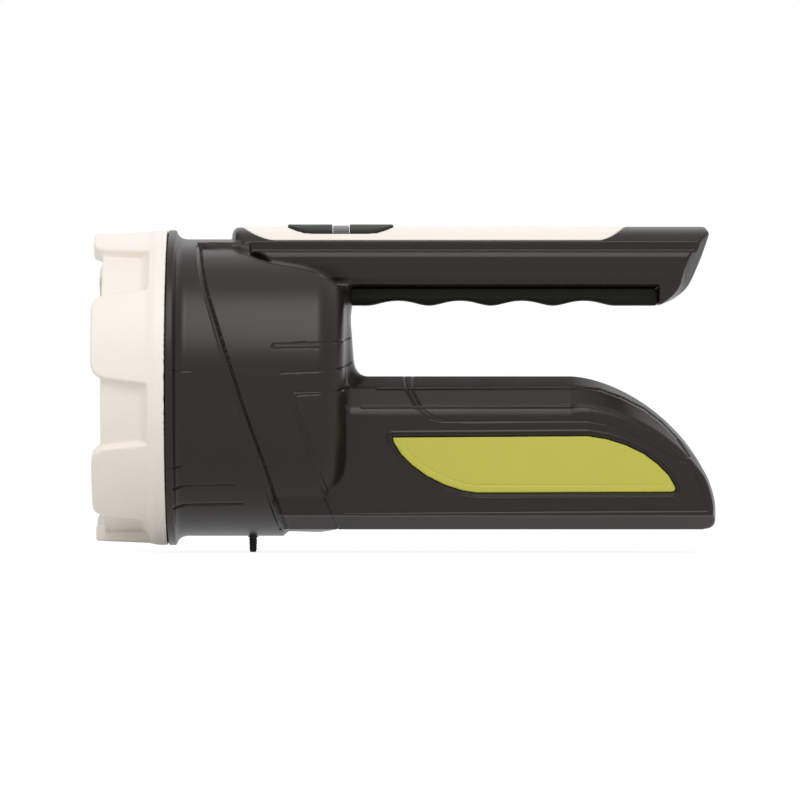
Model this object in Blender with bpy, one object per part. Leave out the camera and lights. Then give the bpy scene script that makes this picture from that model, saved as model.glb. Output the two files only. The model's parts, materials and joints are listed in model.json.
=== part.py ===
"""Hand-held searchlight: lamp head, cantilever handle and battery tail.

All sizes are in metres. The lamp is modelled with the beam axis along X, the
front of the bezel lugs at X = 0, the handle up and the battery tail to +X.
An empty carries the whole lamp, so that the part's origin is the middle of
the bottom of its box.
"""

import math

import bmesh
import bpy
from mathutils import Matrix, Vector

MM = 0.001

# Whole lamp
GAP = 0.3 * MM
OVERRUN = 3 * MM
EDGE = 0.6 * MM
WALL = 2.4 * MM
TURN_SEGMENTS = 48
SMALL_SEGMENTS = 12
SMOOTH_ANGLE = math.radians(32)
CREASE_ANGLE = math.radians(18)
MITER_SHARE = 0.4

# Bezel
BEZEL_RADIUS = 55 * MM
BEZEL_LENGTH = 25.6 * MM
RING_LENGTH = 5.8 * MM
RING_RISE = 2.1 * MM
RECESS_DROP = 4.5 * MM
RECESS_RADIUS = BEZEL_RADIUS - RECESS_DROP
LUG_REACH = 3.6 * MM
LUG_COUNT = 6
LUG_FIRST_ANGLE = math.radians(20)
LUG_FRONT_HALF_ANGLE = math.radians(16.1)
LUG_REAR_HALF_ANGLE = math.radians(19)
LUG_FRONT_DROP = 1.7 * MM
LUG_REAR_DROP = 0.9 * MM
LUG_FRONT_RADIUS = BEZEL_RADIUS - LUG_FRONT_DROP
LUG_REAR_RADIUS = BEZEL_RADIUS - LUG_REAR_DROP
LUG_THICKNESS = 5.2 * MM
LUG_ARC_STEPS = 4
LUG_EASE_SHARE = 0.95
BEZEL_FILLET_SHARES = (0.5, 0.35)
BEZEL_WALL = 6.4 * MM
BEZEL_LIP = 2.4 * MM

# Front glass, its seal and the reflector
NECK_RADIUS = BEZEL_RADIUS - BEZEL_WALL
NECK_WALL = 2.4 * MM
LENS_RIM = 3.6 * MM
LENS_OPENING_RADIUS = NECK_RADIUS - LENS_RIM
LENS_THICKNESS = 2.6 * MM
SEAL_THICKNESS = 1.9 * MM
SEAL_WIDTH = 3 * MM
REFLECTOR_FLANGE = 1.2 * MM
REFLECTOR_WALL = 1.2 * MM
BOWL_DEPTH = 44.6 * MM
REFLECTOR_HOLE_RADIUS = 10.5 * MM
REFLECTOR_NECK = 4 * MM
REFLECTOR_STEPS = 7
REFLECTOR_SLANT_SHARE = 0.6
REFLECTOR_RIM_SHARE = 0.9
REFLECTOR_SEGMENTS = 32

# Lamp housing
FLANGE_LENGTH = 2.8 * MM
FLANGE_FILLET = 4.4 * MM
SLEEVE_DROP = 3.4 * MM
SLEEVE_RADIUS = BEZEL_RADIUS - SLEEVE_DROP
STEP_DROP = 1.6 * MM
BARREL_RADIUS = SLEEVE_RADIUS - STEP_DROP
BARREL_REAR = 87 * MM
SHOULDER_RADIUS = 10 * MM
SHOULDER_STEPS = 6
STEP_TOP = 37 * MM
STEP_REACH = 30.2 * MM
STEP_HEIGHT_SHARE = 0.98
STEP_SHARES = ((0.0, 1.1), (0.0, 1.0), (0.073, 0.618), (0.229, 0.365), (0.432, -0.053),
               (0.684, -0.475), (0.854, -0.773), (1.0, -1.0))
TONGUE_HALF_WIDTH = 11.5 * MM

# Length of the battery tail behind the barrel
TAIL_REACH = 128 * MM
LAMP_LENGTH = BARREL_REAR + TAIL_REACH

# Handle
HANDLE_FRONT = 47.7 * MM
HANDLE_INSET = 1.4 * MM
HANDLE_REAR = LAMP_LENGTH - HANDLE_INSET
HANDLE_RISE = 6 * MM
HANDLE_TOP = BARREL_RADIUS + HANDLE_RISE
CROWN_RADIUS = 18 * MM
CROWN_ANGLE = math.radians(60)
CROWN_STEPS = 12
HANDLE_HALF_WIDTH = 17.2 * MM
LEDGE_DROP = 9 * MM
LEDGE_HEIGHT = HANDLE_TOP - LEDGE_DROP
SIDE_DROP = 21.3 * MM
PANEL_BOTTOM = HANDLE_TOP - SIDE_DROP
SIDE_SHARES = ((0.955, 0.97), (0.99, 0.76), (1.0, 0.5), (0.985, 0.27), (0.93, 0.08), (0.85, 0.0))
HANDLE_DEPTH = 27.4 * MM
HANDLE_BOTTOM = HANDLE_TOP - HANDLE_DEPTH
GRIP_HALF_WIDTH = 12.4 * MM
GRIP_SIDE_SHARES = ((1.0, 1.0), (0.98, 0.4), (0.9, 0.1), (0.76, 0.0))
NOSE_RADIUS = 3.2 * MM
NOSE_DEPTH = 6.4 * MM
NOSE_STEPS = 3
HANDLE_RAKE = 17.9 * MM
RAKE_SHARES = ((0.03, 0.0), (0.25, 0.06), (0.48, 0.16), (0.61, 0.265), (0.72, 0.42),
               (0.85, 0.625), (0.96, 0.835), (1.0, 0.91), (0.93, 0.985), (0.85, 1.0))
TAPER_SHARES = ((0.0, 0.0, 0.0), (0.5, 0.12, 0.0), (0.75, 0.35, 0.05), (1.02, 0.85, 1.0))
NOSE_TAPER = 11 * MM
REAR_TAPER = 4.6 * MM
GRIP_LEAD = 1.7 * MM
GRIP_FRONT = BARREL_REAR + GRIP_LEAD
SCALLOP_COUNT = 4
SCALLOP_LEAD = 16.7 * MM
SCALLOP_FIRST = GRIP_FRONT + SCALLOP_LEAD
SCALLOP_PITCH = 21.6 * MM
SCALLOP_CHORD = 16.4 * MM
SCALLOP_DEPTH = 1.7 * MM
SCALLOP_STEPS = 8
GRIP_TONGUE_HALF_WIDTH = 7 * MM
GRIP_TONGUE_HEIGHT = 1.8 * MM
HANDLE_FLOOR = 3.8 * MM
HANDLE_ROOM_END = 10.6 * MM
ROOM_KNEE_SHARE = 0.8
ROOM_CEILING_SHARE = 0.4

# Flare where the handle grows out of the barrel
SADDLE_LEAD = 5.7 * MM
SADDLE_FRONT = HANDLE_FRONT - SADDLE_LEAD
SADDLE_OVERHANG = 0.2 * MM
SADDLE_REAR = BARREL_REAR + SADDLE_OVERHANG
SADDLE_ANGLE = math.radians(43)
SADDLE_SHARES = ((0.0, 0.2), (0.148, 0.4), (0.263, 0.575), (0.358, 0.68), (0.456, 0.735),
                 (0.726, 0.835), (0.838, 0.925), (0.92, 0.98), (0.96, 0.97), (0.985, 0.9), (1.0, 0.8))
SADDLE_PROUD = 0.3 * MM
SADDLE_SINK = 8 * MM
SADDLE_HOLLOW_SHARE = 0.65

# Spine between handle and tail
SPINE_HALF_WIDTH = 20 * MM
SPINE_CORNER = 7 * MM
SPINE_DEPTH = 5.2 * MM
SPINE_REACH = BARREL_REAR + SPINE_DEPTH
SPINE_SHARES = ((0.0, 0.62), (0.2, 0.62), (0.27, 0.52), (0.34, 0.5), (0.42, 0.53), (0.48, 0.6),
                (0.62, 0.67), (0.75, 0.7), (0.88, 0.78), (0.95, 0.86), (1.0, 1.0))
SPINE_SWELL = 5.2 * MM
SPINE_CORNER_STEPS = 4

# Battery tail
TAIL_LEAD = 30 * MM
TAIL_FRONT = BARREL_REAR - TAIL_LEAD
TAIL_TOP = 3.9 * MM
TAIL_LIFT = 1 * MM
TAIL_BOTTOM = BARREL_RADIUS - TAIL_LIFT
TAIL_HALF_WIDTH = 31 * MM
TAIL_NOSE = 50 * MM
TAIL_BEND = LAMP_LENGTH - TAIL_NOSE
TOE_RISE = 7 * MM
TAIL_TOE = TAIL_BOTTOM - TOE_RISE
TAIL_ROUND_SHARE = 1.68
TAIL_CURVE_STEPS = 14
TOE_STEPS = 4
LEVEL_SHARES = ((0.0, 0.0, 0.0, 0.0), (0.48, 0.0, 0.0, 0.0), (0.71, 0.3, 0.01, 0.0),
                (0.77, 0.38, 0.02, 0.21), (0.955, 0.95, 0.45, 0.86), (0.985, 0.98, 0.62, 0.93),
                (1.0, 1.08, 1.0, 1.0))
TOE_SHARE = 0.85
REAR_SHARE = 0.2
TOE_RADIUS = 3.6 * MM
FACET_DROP = 11 * MM
REAR_ROUND = 2 * MM
CHAMFER_RISE = 5.4 * MM

# Inset side panels
PANEL_DEPTH = 1.8 * MM
PANEL_SINK = 0.3 * MM
PANEL_LEAD = 16.5 * MM
PANEL_FRONT = BARREL_REAR + PANEL_LEAD
PANEL_INSET = 13.9 * MM
PANEL_REAR = LAMP_LENGTH - PANEL_INSET
PANEL_LIFT = 13 * MM
PANEL_LOW = TAIL_BOTTOM - PANEL_LIFT
PANEL_HEIGHT = 19.3 * MM
PANEL_TOP = PANEL_LOW - PANEL_HEIGHT
PANEL_TOP_SHARE = 0.69
PANEL_LOW_SHARE = 0.7
PANEL_ROUND_SHARE = 1.6
PANEL_CURVE_STEPS = 8

# Top strip, switch pad and what lies under it
STRIP_LEAD = 3.7 * MM
STRIP_FRONT = HANDLE_FRONT + STRIP_LEAD
STRIP_INSET = 29.6 * MM
STRIP_REAR = HANDLE_REAR - STRIP_INSET
STRIP_HALF_WIDTH = 11.8 * MM
STRIP_THICKNESS = 1.8 * MM
STRIP_END_STEPS = 10
PAD_LEAD = 15.6 * MM
PAD_FRONT = STRIP_FRONT + PAD_LEAD
PAD_LENGTH = 36.9 * MM
PAD_REAR = PAD_FRONT + PAD_LENGTH
PAD_HALF_WIDTH = 9 * MM
PAD_PROUD = 0.8 * MM
PAD_END_STEPS = 8
BUTTON_THICKNESS = 1.5 * MM
POWER_LENGTH = 15.9 * MM
WINDOW_FRONT = PAD_FRONT + POWER_LENGTH
WINDOW_LENGTH = 5.4 * MM
WINDOW_REAR = WINDOW_FRONT + WINDOW_LENGTH
WINDOW_SINK = 0.4 * MM
BUTTON_TRAVEL = 0.7 * MM
STEM_RADIUS = 2 * MM
STEM_CLEARANCE = 0.5 * MM
SEAT_FLOOR = 1.9 * MM
SWITCH_SIZE = 6 * MM
SWITCH_HEIGHT = 1.6 * MM
SWITCH_NUB_RADIUS = 1.7 * MM
SWITCH_NUB_HEIGHT = 0.9 * MM
BOARD_THICKNESS = 1.2 * MM
SWITCH_BOARD_HALF_WIDTH = 6 * MM
SWITCH_BOARD_MARGIN = 2 * MM
BOARD_POST_RADIUS = 1.6 * MM

# Light source and cooling
HEAT_SINK_MARGIN = 17 * MM
HEAT_SINK_RADIUS = BARREL_RADIUS - HEAT_SINK_MARGIN
HEAT_SINK_PLATE = 3 * MM
FIN_COUNT = 7
FIN_PITCH_SHARE = 0.21
FIN_HEIGHT = 9 * MM
FIN_THICKNESS = 1.6 * MM
FIN_PITCH = HEAT_SINK_RADIUS * FIN_PITCH_SHARE
PEDESTAL_RADIUS = 9 * MM
PEDESTAL_SHARE = 0.85
LED_BOARD_RADIUS = 8 * MM
LED_BOARD_THICKNESS = 1.4 * MM
LED_SIZE = 5 * MM
LED_BASE = 1 * MM
LED_DOME_RADIUS = 2.2 * MM
LED_DOME_STEPS = 4
SINK_RIB_DEPTH = 3 * MM

# Driver board
DRIVER_WIDTH = 40 * MM
DRIVER_HEIGHT = 26 * MM
DRIVER_RISE = 15 * MM
DRIVER_POST_RADIUS = 2.2 * MM
DRIVER_POST_SPACING = 26 * MM
DRIVER_POST_LENGTH = 5 * MM
CHIP_HEIGHT = 2 * MM
CHIP_SHARES = ((-0.25, 0.15, 0.3, 0.35), (0.2, -0.2, 0.25, 0.3), (0.28, 0.25, 0.15, 0.2))

# Charging socket and its rubber plug
SOCKET_PLACE = 55 * MM
SOCKET_WIDTH = 9 * MM
SOCKET_HEIGHT = 10 * MM
SOCKET_HOLE_RADIUS = 1.8 * MM
SOCKET_HOLE_DEPTH = 9 * MM
PORT_HOLE_RADIUS = 1.8 * MM
PLUG_STEM_RADIUS = 1.4 * MM
PLUG_STEM_LENGTH = 8 * MM
PLUG_FLANGE_RADIUS = 2.3 * MM
PLUG_FLARE = 1.3 * MM
PLUG_TAB_RADIUS = 1.35 * MM
PLUG_TIP_RADIUS = 1.15 * MM
PLUG_TAB_LENGTH = 5.6 * MM

# Batteries
CELL_RADIUS = 9.15 * MM
CELL_LENGTH = 65 * MM
CELL_SPACING = 19.6 * MM
CELL_LEAD = 20 * MM
CELL_FRONT = BARREL_REAR + CELL_LEAD
CELL_RISE = 22.5 * MM
CELL_HEIGHT = CELL_RISE - TAIL_BOTTOM
CELL_CAP_RADIUS = 3 * MM
CELL_CAP_HEIGHT = 1 * MM
HOLDER_WALL = 1.6 * MM
HOLDER_FLOOR = 1.2 * MM
HOLDER_DEPTH = 13 * MM
CONTACT_THICKNESS = 0.6 * MM
CONTACT_BUMP = 0.8 * MM
CONTACT_BUMP_SHARES = (0.8, 0.4)
HOLDER_FOOT = 3 * MM

# Screws and bosses
BOSS_RADIUS = 3.2 * MM
SCREW_RADIUS = 1.3 * MM
SCREW_HEAD_RADIUS = 2.6 * MM
SCREW_HEAD_HEIGHT = 2 * MM
SCREW_LENGTH = 14 * MM
SCREW_GRIP = 4 * MM
BOSS_INSET = 9 * MM
BOSS_LIFT = 9.5 * MM
BOSS_DROP = 12.4 * MM

# Wires
WIRE_RADIUS = 0.75 * MM
WIRE_CLEARANCE = 0.5 * MM
WIRE_STEPS = 3
LEAD_SHARES = (0.3, 0.7)
BATTERY_LEAD_RISE = 8 * MM
BATTERY_LEAD_ROOM = 2.6 * MM
CHARGE_LEAD_DROP = 2.4 * MM

AXIS_HEIGHT = SLEEVE_RADIUS + PLUG_TAB_LENGTH
SHELL_BLACK = (0.024, 0.021, 0.019, 1)
CREAM = (0.87, 0.82, 0.75, 1)
LIME = (0.5, 0.49, 0.09, 1)
RUBBER_BLACK = (0.012, 0.012, 0.008, 1)
RUBBER_GREY = (0.09, 0.1, 0.08, 1)
BUTTON_GREY = (0.06, 0.062, 0.062, 1)
WINDOW_GREY = (0.42, 0.43, 0.44, 1)
CLEAR = (0.95, 0.97, 0.98, 1)
CHROME = (0.9, 0.9, 0.91, 1)
ALUMINIUM = (0.6, 0.61, 0.62, 1)
STEEL = (0.5, 0.5, 0.5, 1)
BOARD_GREEN = (0.03, 0.17, 0.07, 1)
BOARD_WHITE = (0.8, 0.8, 0.78, 1)
PHOSPHOR = (0.85, 0.72, 0.2, 1)
CELL_BLUE = (0.05, 0.2, 0.45, 1)
HOLDER_BLACK = (0.03, 0.03, 0.03, 1)
WIRE_RED = (0.5, 0.02, 0.02, 1)
WIRE_BLACK = (0.02, 0.02, 0.02, 1)


def clear_scene():
    for old in list(bpy.data.objects):
        bpy.data.objects.remove(old)


def make_material(name, colour, roughness=0.4, metallic=0.0, transmission=0.0):
    material = bpy.data.materials.new(name)
    material.use_nodes = True
    material.diffuse_color = colour
    shader = material.node_tree.nodes["Principled BSDF"]
    shader.inputs["Base Color"].default_value = colour
    shader.inputs["Roughness"].default_value = roughness
    shader.inputs["Metallic"].default_value = metallic
    shader.inputs["Transmission Weight"].default_value = transmission
    return material


# Building tools: each returns an object in the lamp's frame

def link_mesh(bm, name="shape"):
    bmesh.ops.recalc_face_normals(bm, faces=bm.faces)
    mesh = bpy.data.meshes.new(name)
    bm.to_mesh(mesh)
    bm.free()
    shape = bpy.data.objects.new(name, mesh)
    bpy.context.scene.collection.objects.link(shape)
    return shape


def loft(rings):
    """Skin over closed rings of equally many points, with flat end caps."""
    bm = bmesh.new()
    loops = [[bm.verts.new(point) for point in ring] for ring in rings]
    for near, far in zip(loops, loops[1:]):
        for index in range(len(near)):
            after = (index + 1) % len(near)
            bm.faces.new((near[index], near[after], far[after], far[index]))
    bm.faces.new(loops[0])
    bm.faces.new(loops[-1])
    bmesh.ops.triangulate(bm, faces=[face for face in bm.faces if len(face.verts) == 4])
    return link_mesh(bm)


def prism_x(outline, low, high):
    """Outline of (y, z) points, extruded along X."""
    return loft([[(x, y, z) for y, z in outline] for x in (low, high)])


def prism_y(outline, low, high):
    """Outline of (x, z) points, extruded along Y."""
    return loft([[(x, y, z) for x, z in outline] for y in (low, high)])


def prism_z(outline, low, high):
    """Outline of (x, y) points, extruded along Z."""
    return loft([[(x, y, z) for x, y in outline] for z in (low, high)])


def block(low, high):
    outline = ((low[0], low[1]), (high[0], low[1]), (high[0], high[1]), (low[0], high[1]))
    return prism_z(outline, low[2], high[2])


def turned(profile, segments=TURN_SEGMENTS):
    """Solid turned about X from (x, radius) points: a chain between two points on the axis."""
    bm = bmesh.new()
    rings = []
    for x, radius in profile:
        if radius == 0:
            rings.append([bm.verts.new((x, 0, 0))])
            continue
        ring = []
        for step in range(segments):
            angle = 2 * math.pi * (step + 0.5) / segments
            ring.append(bm.verts.new((x, radius * math.sin(angle), radius * math.cos(angle))))
        rings.append(ring)
    for near, far in zip(rings, rings[1:]):
        for step in range(segments):
            after = (step + 1) % segments
            corners = [near[step % len(near)], near[after % len(near)]]
            corners += [far[after % len(far)], far[step % len(far)]]
            bm.faces.new(list(dict.fromkeys(corners)))
    return link_mesh(bm)


def turned_ring(profile, segments=TURN_SEGMENTS):
    """Ring turned about X from a closed loop of (x, radius) points."""
    bm = bmesh.new()
    rings = []
    for x, radius in profile:
        ring = []
        for step in range(segments):
            angle = 2 * math.pi * (step + 0.5) / segments
            ring.append(bm.verts.new((x, radius * math.sin(angle), radius * math.cos(angle))))
        rings.append(ring)
    for near, far in zip(rings, rings[1:] + rings[:1]):
        for step in range(segments):
            after = (step + 1) % segments
            bm.faces.new((near[step], near[after], far[after], far[step]))
    return link_mesh(bm)


def turned_z(profile, place, segments=SMALL_SEGMENTS):
    """Solid turned about an upright axis through place, from (z, radius) points."""
    shape = turned(profile, segments)
    shape.data.transform(Matrix.Rotation(-math.pi / 2, 4, "Y"))
    shape.data.transform(Matrix.Translation(place))
    return shape


def turned_y(profile, place, segments=SMALL_SEGMENTS):
    """Solid turned about a crosswise axis through place, from (y, radius) points."""
    shape = turned(profile, segments)
    shape.data.transform(Matrix.Rotation(math.pi / 2, 4, "Z"))
    shape.data.transform(Matrix.Translation(place))
    return shape


def rod(low, high, radius):
    return ((low, 0), (low, radius), (high, radius), (high, 0))


def combine(target, tool, operation):
    """Apply an exact Boolean of the tool to the target, and delete the tool."""
    modifier = target.modifiers.new("combine", "BOOLEAN")
    modifier.operation = operation
    modifier.solver = "EXACT"
    modifier.object = tool
    bpy.context.view_layer.update()
    graph = bpy.context.evaluated_depsgraph_get()
    result = bpy.data.meshes.new_from_object(target.evaluated_get(graph))
    target.modifiers.clear()
    target.data = result
    bpy.data.objects.remove(tool)
    return target


def join(target, *tools):
    for tool in tools:
        combine(target, tool, "UNION")
    return target


def cut(target, *tools):
    for tool in tools:
        combine(target, tool, "DIFFERENCE")
    return target


def keep_common(target, *tools):
    for tool in tools:
        combine(target, tool, "INTERSECT")
    return target


def move_shape(shape, x=0.0, y=0.0, z=0.0):
    shape.data.transform(Matrix.Translation((x, y, z)))
    return shape


def mirror_y(shape):
    """Mirrored copy on the other side of the middle plane."""
    bm = bmesh.new()
    bm.from_mesh(shape.data)
    bmesh.ops.scale(bm, vec=(1, -1, 1), verts=bm.verts)
    bmesh.ops.reverse_faces(bm, faces=bm.faces)
    return link_mesh(bm)


def finish(shape, name, material, root, origin=(0, 0, 0), sharp=SMOOTH_ANGLE):
    """Name the piece, give it its material and put its origin on its joint's axis."""
    shape.name = name
    shape.data.name = name
    shape.data.materials.clear()
    shape.data.materials.append(material)
    shape.data.transform(Matrix.Translation(-Vector(origin)))
    shape.location = origin
    shape.data.shade_smooth()
    shape.data.set_sharp_from_angle(angle=sharp)
    shape.parent = root
    return shape


# Outlines

def shrink(outline, depths):
    """Closed outline with each point moved inwards along its mitred normal by its own depth."""
    count = len(outline)
    corners = list(zip([outline[-1]] + outline[:-1], outline))
    area = sum(before[0] * here[1] - here[0] * before[1] for before, here in corners)
    turn = 1 if area > 0 else -1
    moved = []
    for index, (x, z) in enumerate(outline):
        before = Vector(outline[index - 1])
        after = Vector(outline[(index + 1) % count])
        here = Vector((x, z))
        first = (here - before).normalized()
        second = (after - here).normalized()
        normal = Vector((-first.y - second.y, first.x + second.x)).normalized() * turn
        miter = max(normal.dot(Vector((-first.y, first.x))) * turn, MITER_SHARE)
        moved.append(tuple(here + normal * (depths[index] / miter)))
    return moved


def blend(low, high, share):
    return low + (high - low) * share


def step_outline():
    """Side view of everything behind the slanting end of the front sleeve."""
    height = BARREL_RADIUS * STEP_HEIGHT_SHARE
    edge = [(STEP_TOP + STEP_REACH * along, height * up) for along, up in STEP_SHARES]
    low = -SLEEVE_RADIUS - OVERRUN
    far = LAMP_LENGTH + OVERRUN
    return edge + [(edge[-1][0], low), (far, low), (far, edge[0][1])]


def tail_outline(wall):
    """Side silhouette of the tail at this depth: points with their region and share of the facets."""
    bottom = -TAIL_BOTTOM + wall
    rear = LAMP_LENGTH - wall
    radius = max(TOE_RADIUS - wall, EDGE)
    points = [(TAIL_FRONT + wall, bottom, "bottom", 1), (rear - radius, bottom, "heel", 1)]
    for step in range(1, TOE_STEPS + 1):
        angle = math.pi / 2 * step / TOE_STEPS
        x = rear - radius * (1 - math.sin(angle))
        points.append((x, bottom + radius * (1 - math.cos(angle)), "toe", 0))
    width = rear - TAIL_BEND
    base = -TAIL_TOE + wall
    height = TAIL_TOP - wall - base
    for step in range(TAIL_CURVE_STEPS + 1):
        angle = math.pi / 2 * step / TAIL_CURVE_STEPS
        x = TAIL_BEND + width * math.cos(angle) ** (2 / TAIL_ROUND_SHARE)
        z = base + height * math.sin(angle) ** (2 / TAIL_ROUND_SHARE)
        share = (step / TAIL_CURVE_STEPS - REAR_SHARE) / (1 - REAR_SHARE)
        points.append((x, z, "rear", max(0, share)))
    points.append((TAIL_FRONT + wall, TAIL_TOP - wall, "top", 1))
    return points


def tail_solid(wall=0.0, side_wall=0.0):
    """Tail lofted across its width, with facets along the top and a chamfer along the bottom."""
    stations = tail_outline(wall)
    silhouette = [(x, z) for x, z, region, share in stations]
    toe = (LAMP_LENGTH - REAR_ROUND - wall, -TAIL_BOTTOM + CHAMFER_RISE + wall)
    heel = (toe[0] - EDGE * 2, toe[1])
    rings = []
    for level, top, rear, bottom in LEVEL_SHARES:
        depths = []
        for x, z, region, share in stations:
            facet = blend(rear * REAR_ROUND, top * FACET_DROP, share)
            depths.append(bottom * CHAMFER_RISE if region == "bottom" else facet)
        ring = shrink(silhouette, depths)
        for index, (x, z, region, _) in enumerate(stations):
            if region == "heel":
                ring[index] = (blend(x, heel[0], bottom), blend(z, heel[1], bottom))
            elif region == "toe":
                share = bottom * TOE_SHARE
                ring[index] = (blend(x, toe[0], share), blend(z, toe[1], share))
        y = level * (TAIL_HALF_WIDTH - side_wall)
        rings.append([(x, y, z) for x, z in ring])
    mirrored = [[(x, -y, z) for x, y, z in ring] for ring in reversed(rings[1:])]
    return loft(mirrored + rings)


def crown_band(outer, inner, low, high):
    """Curved strip that follows the handle's crown, between two depths below its surface."""
    centre = HANDLE_TOP - CROWN_RADIUS
    reach = CROWN_ANGLE
    rim = []
    for depth, direction in ((outer, 1), (inner, -1)):
        for step in range(CROWN_STEPS + 1):
            angle = direction * (reach * 2 * step / CROWN_STEPS - reach)
            radius = CROWN_RADIUS - depth
            rim.append((radius * math.sin(angle), centre + radius * math.cos(angle)))
    return prism_x(rim, low, high)


def crown_height(y, depth=0.0):
    radius = CROWN_RADIUS - depth
    return HANDLE_TOP - CROWN_RADIUS + math.sqrt(radius * radius - y * y)


def rounded_strip(front, rear, half_width, steps):
    """Plan outline of a strip with round ends."""
    outline = []
    for centre, start in ((rear - half_width, -math.pi / 2), (front + half_width, math.pi / 2)):
        for step in range(steps + 1):
            angle = start + math.pi * step / steps
            outline.append((centre + half_width * math.cos(angle), half_width * math.sin(angle)))
    return outline


def panel_outline():
    """Leaf shape of the side inset: straight top and bottom, a long curve at each end."""
    outline = []
    low_start = blend(PANEL_REAR, PANEL_FRONT, PANEL_LOW_SHARE)
    top_end = blend(PANEL_FRONT, PANEL_REAR, PANEL_TOP_SHARE)
    power = 2 / PANEL_ROUND_SHARE
    for start, tip, base, direction in ((low_start, PANEL_FRONT, -PANEL_TOP, -1),
                                        (top_end, PANEL_REAR, -PANEL_LOW, 1)):
        for step in range(PANEL_CURVE_STEPS + 1):
            angle = math.pi / 2 * step / PANEL_CURVE_STEPS
            x = blend(start, tip, math.sin(angle) ** power)
            z = base + direction * PANEL_HEIGHT * abs(math.cos(angle)) ** power
            outline.append((x, z))
    return outline


# Housing

def behind_step():
    """Everything behind the slanting end of the front sleeve."""
    reach = SLEEVE_RADIUS + OVERRUN
    return prism_y(step_outline(), -reach, reach)


def sleeve_solid():
    """Neck, flange, fillet and front sleeve, cut off along the slanting step."""
    front = neck_front()
    flange = BEZEL_LENGTH + GAP
    back = BEZEL_LENGTH + FLANGE_LENGTH
    rise = BEZEL_RADIUS - SLEEVE_RADIUS
    profile = [(front, 0), (front, NECK_RADIUS), (flange, NECK_RADIUS), (flange, BEZEL_RADIUS - EDGE),
               (flange + EDGE, BEZEL_RADIUS), (back, BEZEL_RADIUS)]
    for step in range(1, SHOULDER_STEPS):
        angle = math.pi / 2 * step / (SHOULDER_STEPS - 1)
        x = back + FLANGE_FILLET * (1 - math.cos(angle))
        profile.append((x, BEZEL_RADIUS - rise * math.sin(angle)))
    profile += [(BARREL_REAR - SHOULDER_RADIUS, SLEEVE_RADIUS), (BARREL_REAR - SHOULDER_RADIUS, 0)]
    sleeve = turned(profile)
    tongue = block((0, -TONGUE_HALF_WIDTH, 0), (LAMP_LENGTH, TONGUE_HALF_WIDTH, SLEEVE_RADIUS + OVERRUN))
    return cut(sleeve, cut(behind_step(), tongue))


def barrel_profile(radius, rear, shoulder):
    """Plain barrel with a rounded rear shoulder."""
    front = BEZEL_LENGTH + FLANGE_LENGTH + OVERRUN
    profile = [(front, 0), (front, radius)]
    for step in range(SHOULDER_STEPS + 1):
        angle = math.pi / 2 * step / SHOULDER_STEPS
        x = rear - shoulder * (1 - math.sin(angle))
        profile.append((x, radius - shoulder * (1 - math.cos(angle))))
    profile.append((rear, 0))
    return profile


def handle_side_outline():
    """Side view of the handle: round nose, raked rear end and the seat of the grip."""
    rake_start = HANDLE_REAR - HANDLE_RAKE
    height = HANDLE_TOP - HANDLE_BOTTOM
    outline = [(HANDLE_FRONT, HANDLE_TOP - NOSE_DEPTH)]
    for step in range(NOSE_STEPS + 1):
        angle = math.pi / 2 * step / NOSE_STEPS
        x = HANDLE_FRONT + NOSE_RADIUS * (1 - math.cos(angle))
        outline.append((x, HANDLE_TOP + GAP - NOSE_RADIUS * (1 - math.sin(angle))))
    for along, up in reversed(RAKE_SHARES):
        outline.append((rake_start + HANDLE_RAKE * along, HANDLE_BOTTOM + height * up))
    outline += [(rake_start, HANDLE_BOTTOM), (rake_start, PANEL_BOTTOM)]
    return outline + [(HANDLE_FRONT + NOSE_TAPER, PANEL_BOTTOM)]


def handle_section():
    """Cross-section of the handle: crown, ledge, bulged sides and grip width below."""
    right = []
    centre = HANDLE_TOP - CROWN_RADIUS
    for step in range(CROWN_STEPS // 2 + 1):
        angle = CROWN_ANGLE * step / (CROWN_STEPS // 2)
        right.append((CROWN_RADIUS * math.sin(angle), centre + CROWN_RADIUS * math.cos(angle)))
    panel_height = LEDGE_HEIGHT - PANEL_BOTTOM
    right += [(HANDLE_HALF_WIDTH * out, PANEL_BOTTOM + panel_height * up) for out, up in SIDE_SHARES]
    grip_height = PANEL_BOTTOM - HANDLE_BOTTOM
    right += [(GRIP_HALF_WIDTH * out, HANDLE_BOTTOM + grip_height * up) for out, up in GRIP_SIDE_SHARES]
    left = [(-y, z) for y, z in reversed(right[1:])]
    return right + left


def handle_heel():
    """Lower rear end of the handle, behind the soft grip and as wide as the side's lower edge."""
    half_width = HANDLE_HALF_WIDTH * SIDE_SHARES[-1][0]
    return block((HANDLE_REAR - HANDLE_RAKE, -half_width, HANDLE_BOTTOM - OVERRUN),
                 (HANDLE_REAR + OVERRUN, half_width, PANEL_BOTTOM + EDGE))


def handle_solid():
    bar = prism_x(handle_section(), HANDLE_FRONT - OVERRUN, HANDLE_REAR + OVERRUN)
    bar = join(bar, handle_heel())
    outline = handle_side_outline()
    middle = (HANDLE_FRONT + HANDLE_REAR) / 2
    rings = []
    for level, nose, rear in TAPER_SHARES:
        ring = []
        for x, z in outline:
            if x < HANDLE_FRONT + NOSE_RADIUS * 2:
                x = x + nose * NOSE_TAPER
            elif x > middle and z > HANDLE_BOTTOM:
                reach = (x - (HANDLE_REAR - HANDLE_RAKE)) / HANDLE_RAKE
                x = x - rear * REAR_TAPER * max(0.0, min(1.0, 2 * reach))
            ring.append((x, level * HANDLE_HALF_WIDTH, z))
        rings.append(ring)
    mirrored = [[(x, -y, z) for x, y, z in ring] for ring in reversed(rings[1:])]
    return keep_common(bar, loft(mirrored + rings))


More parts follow.
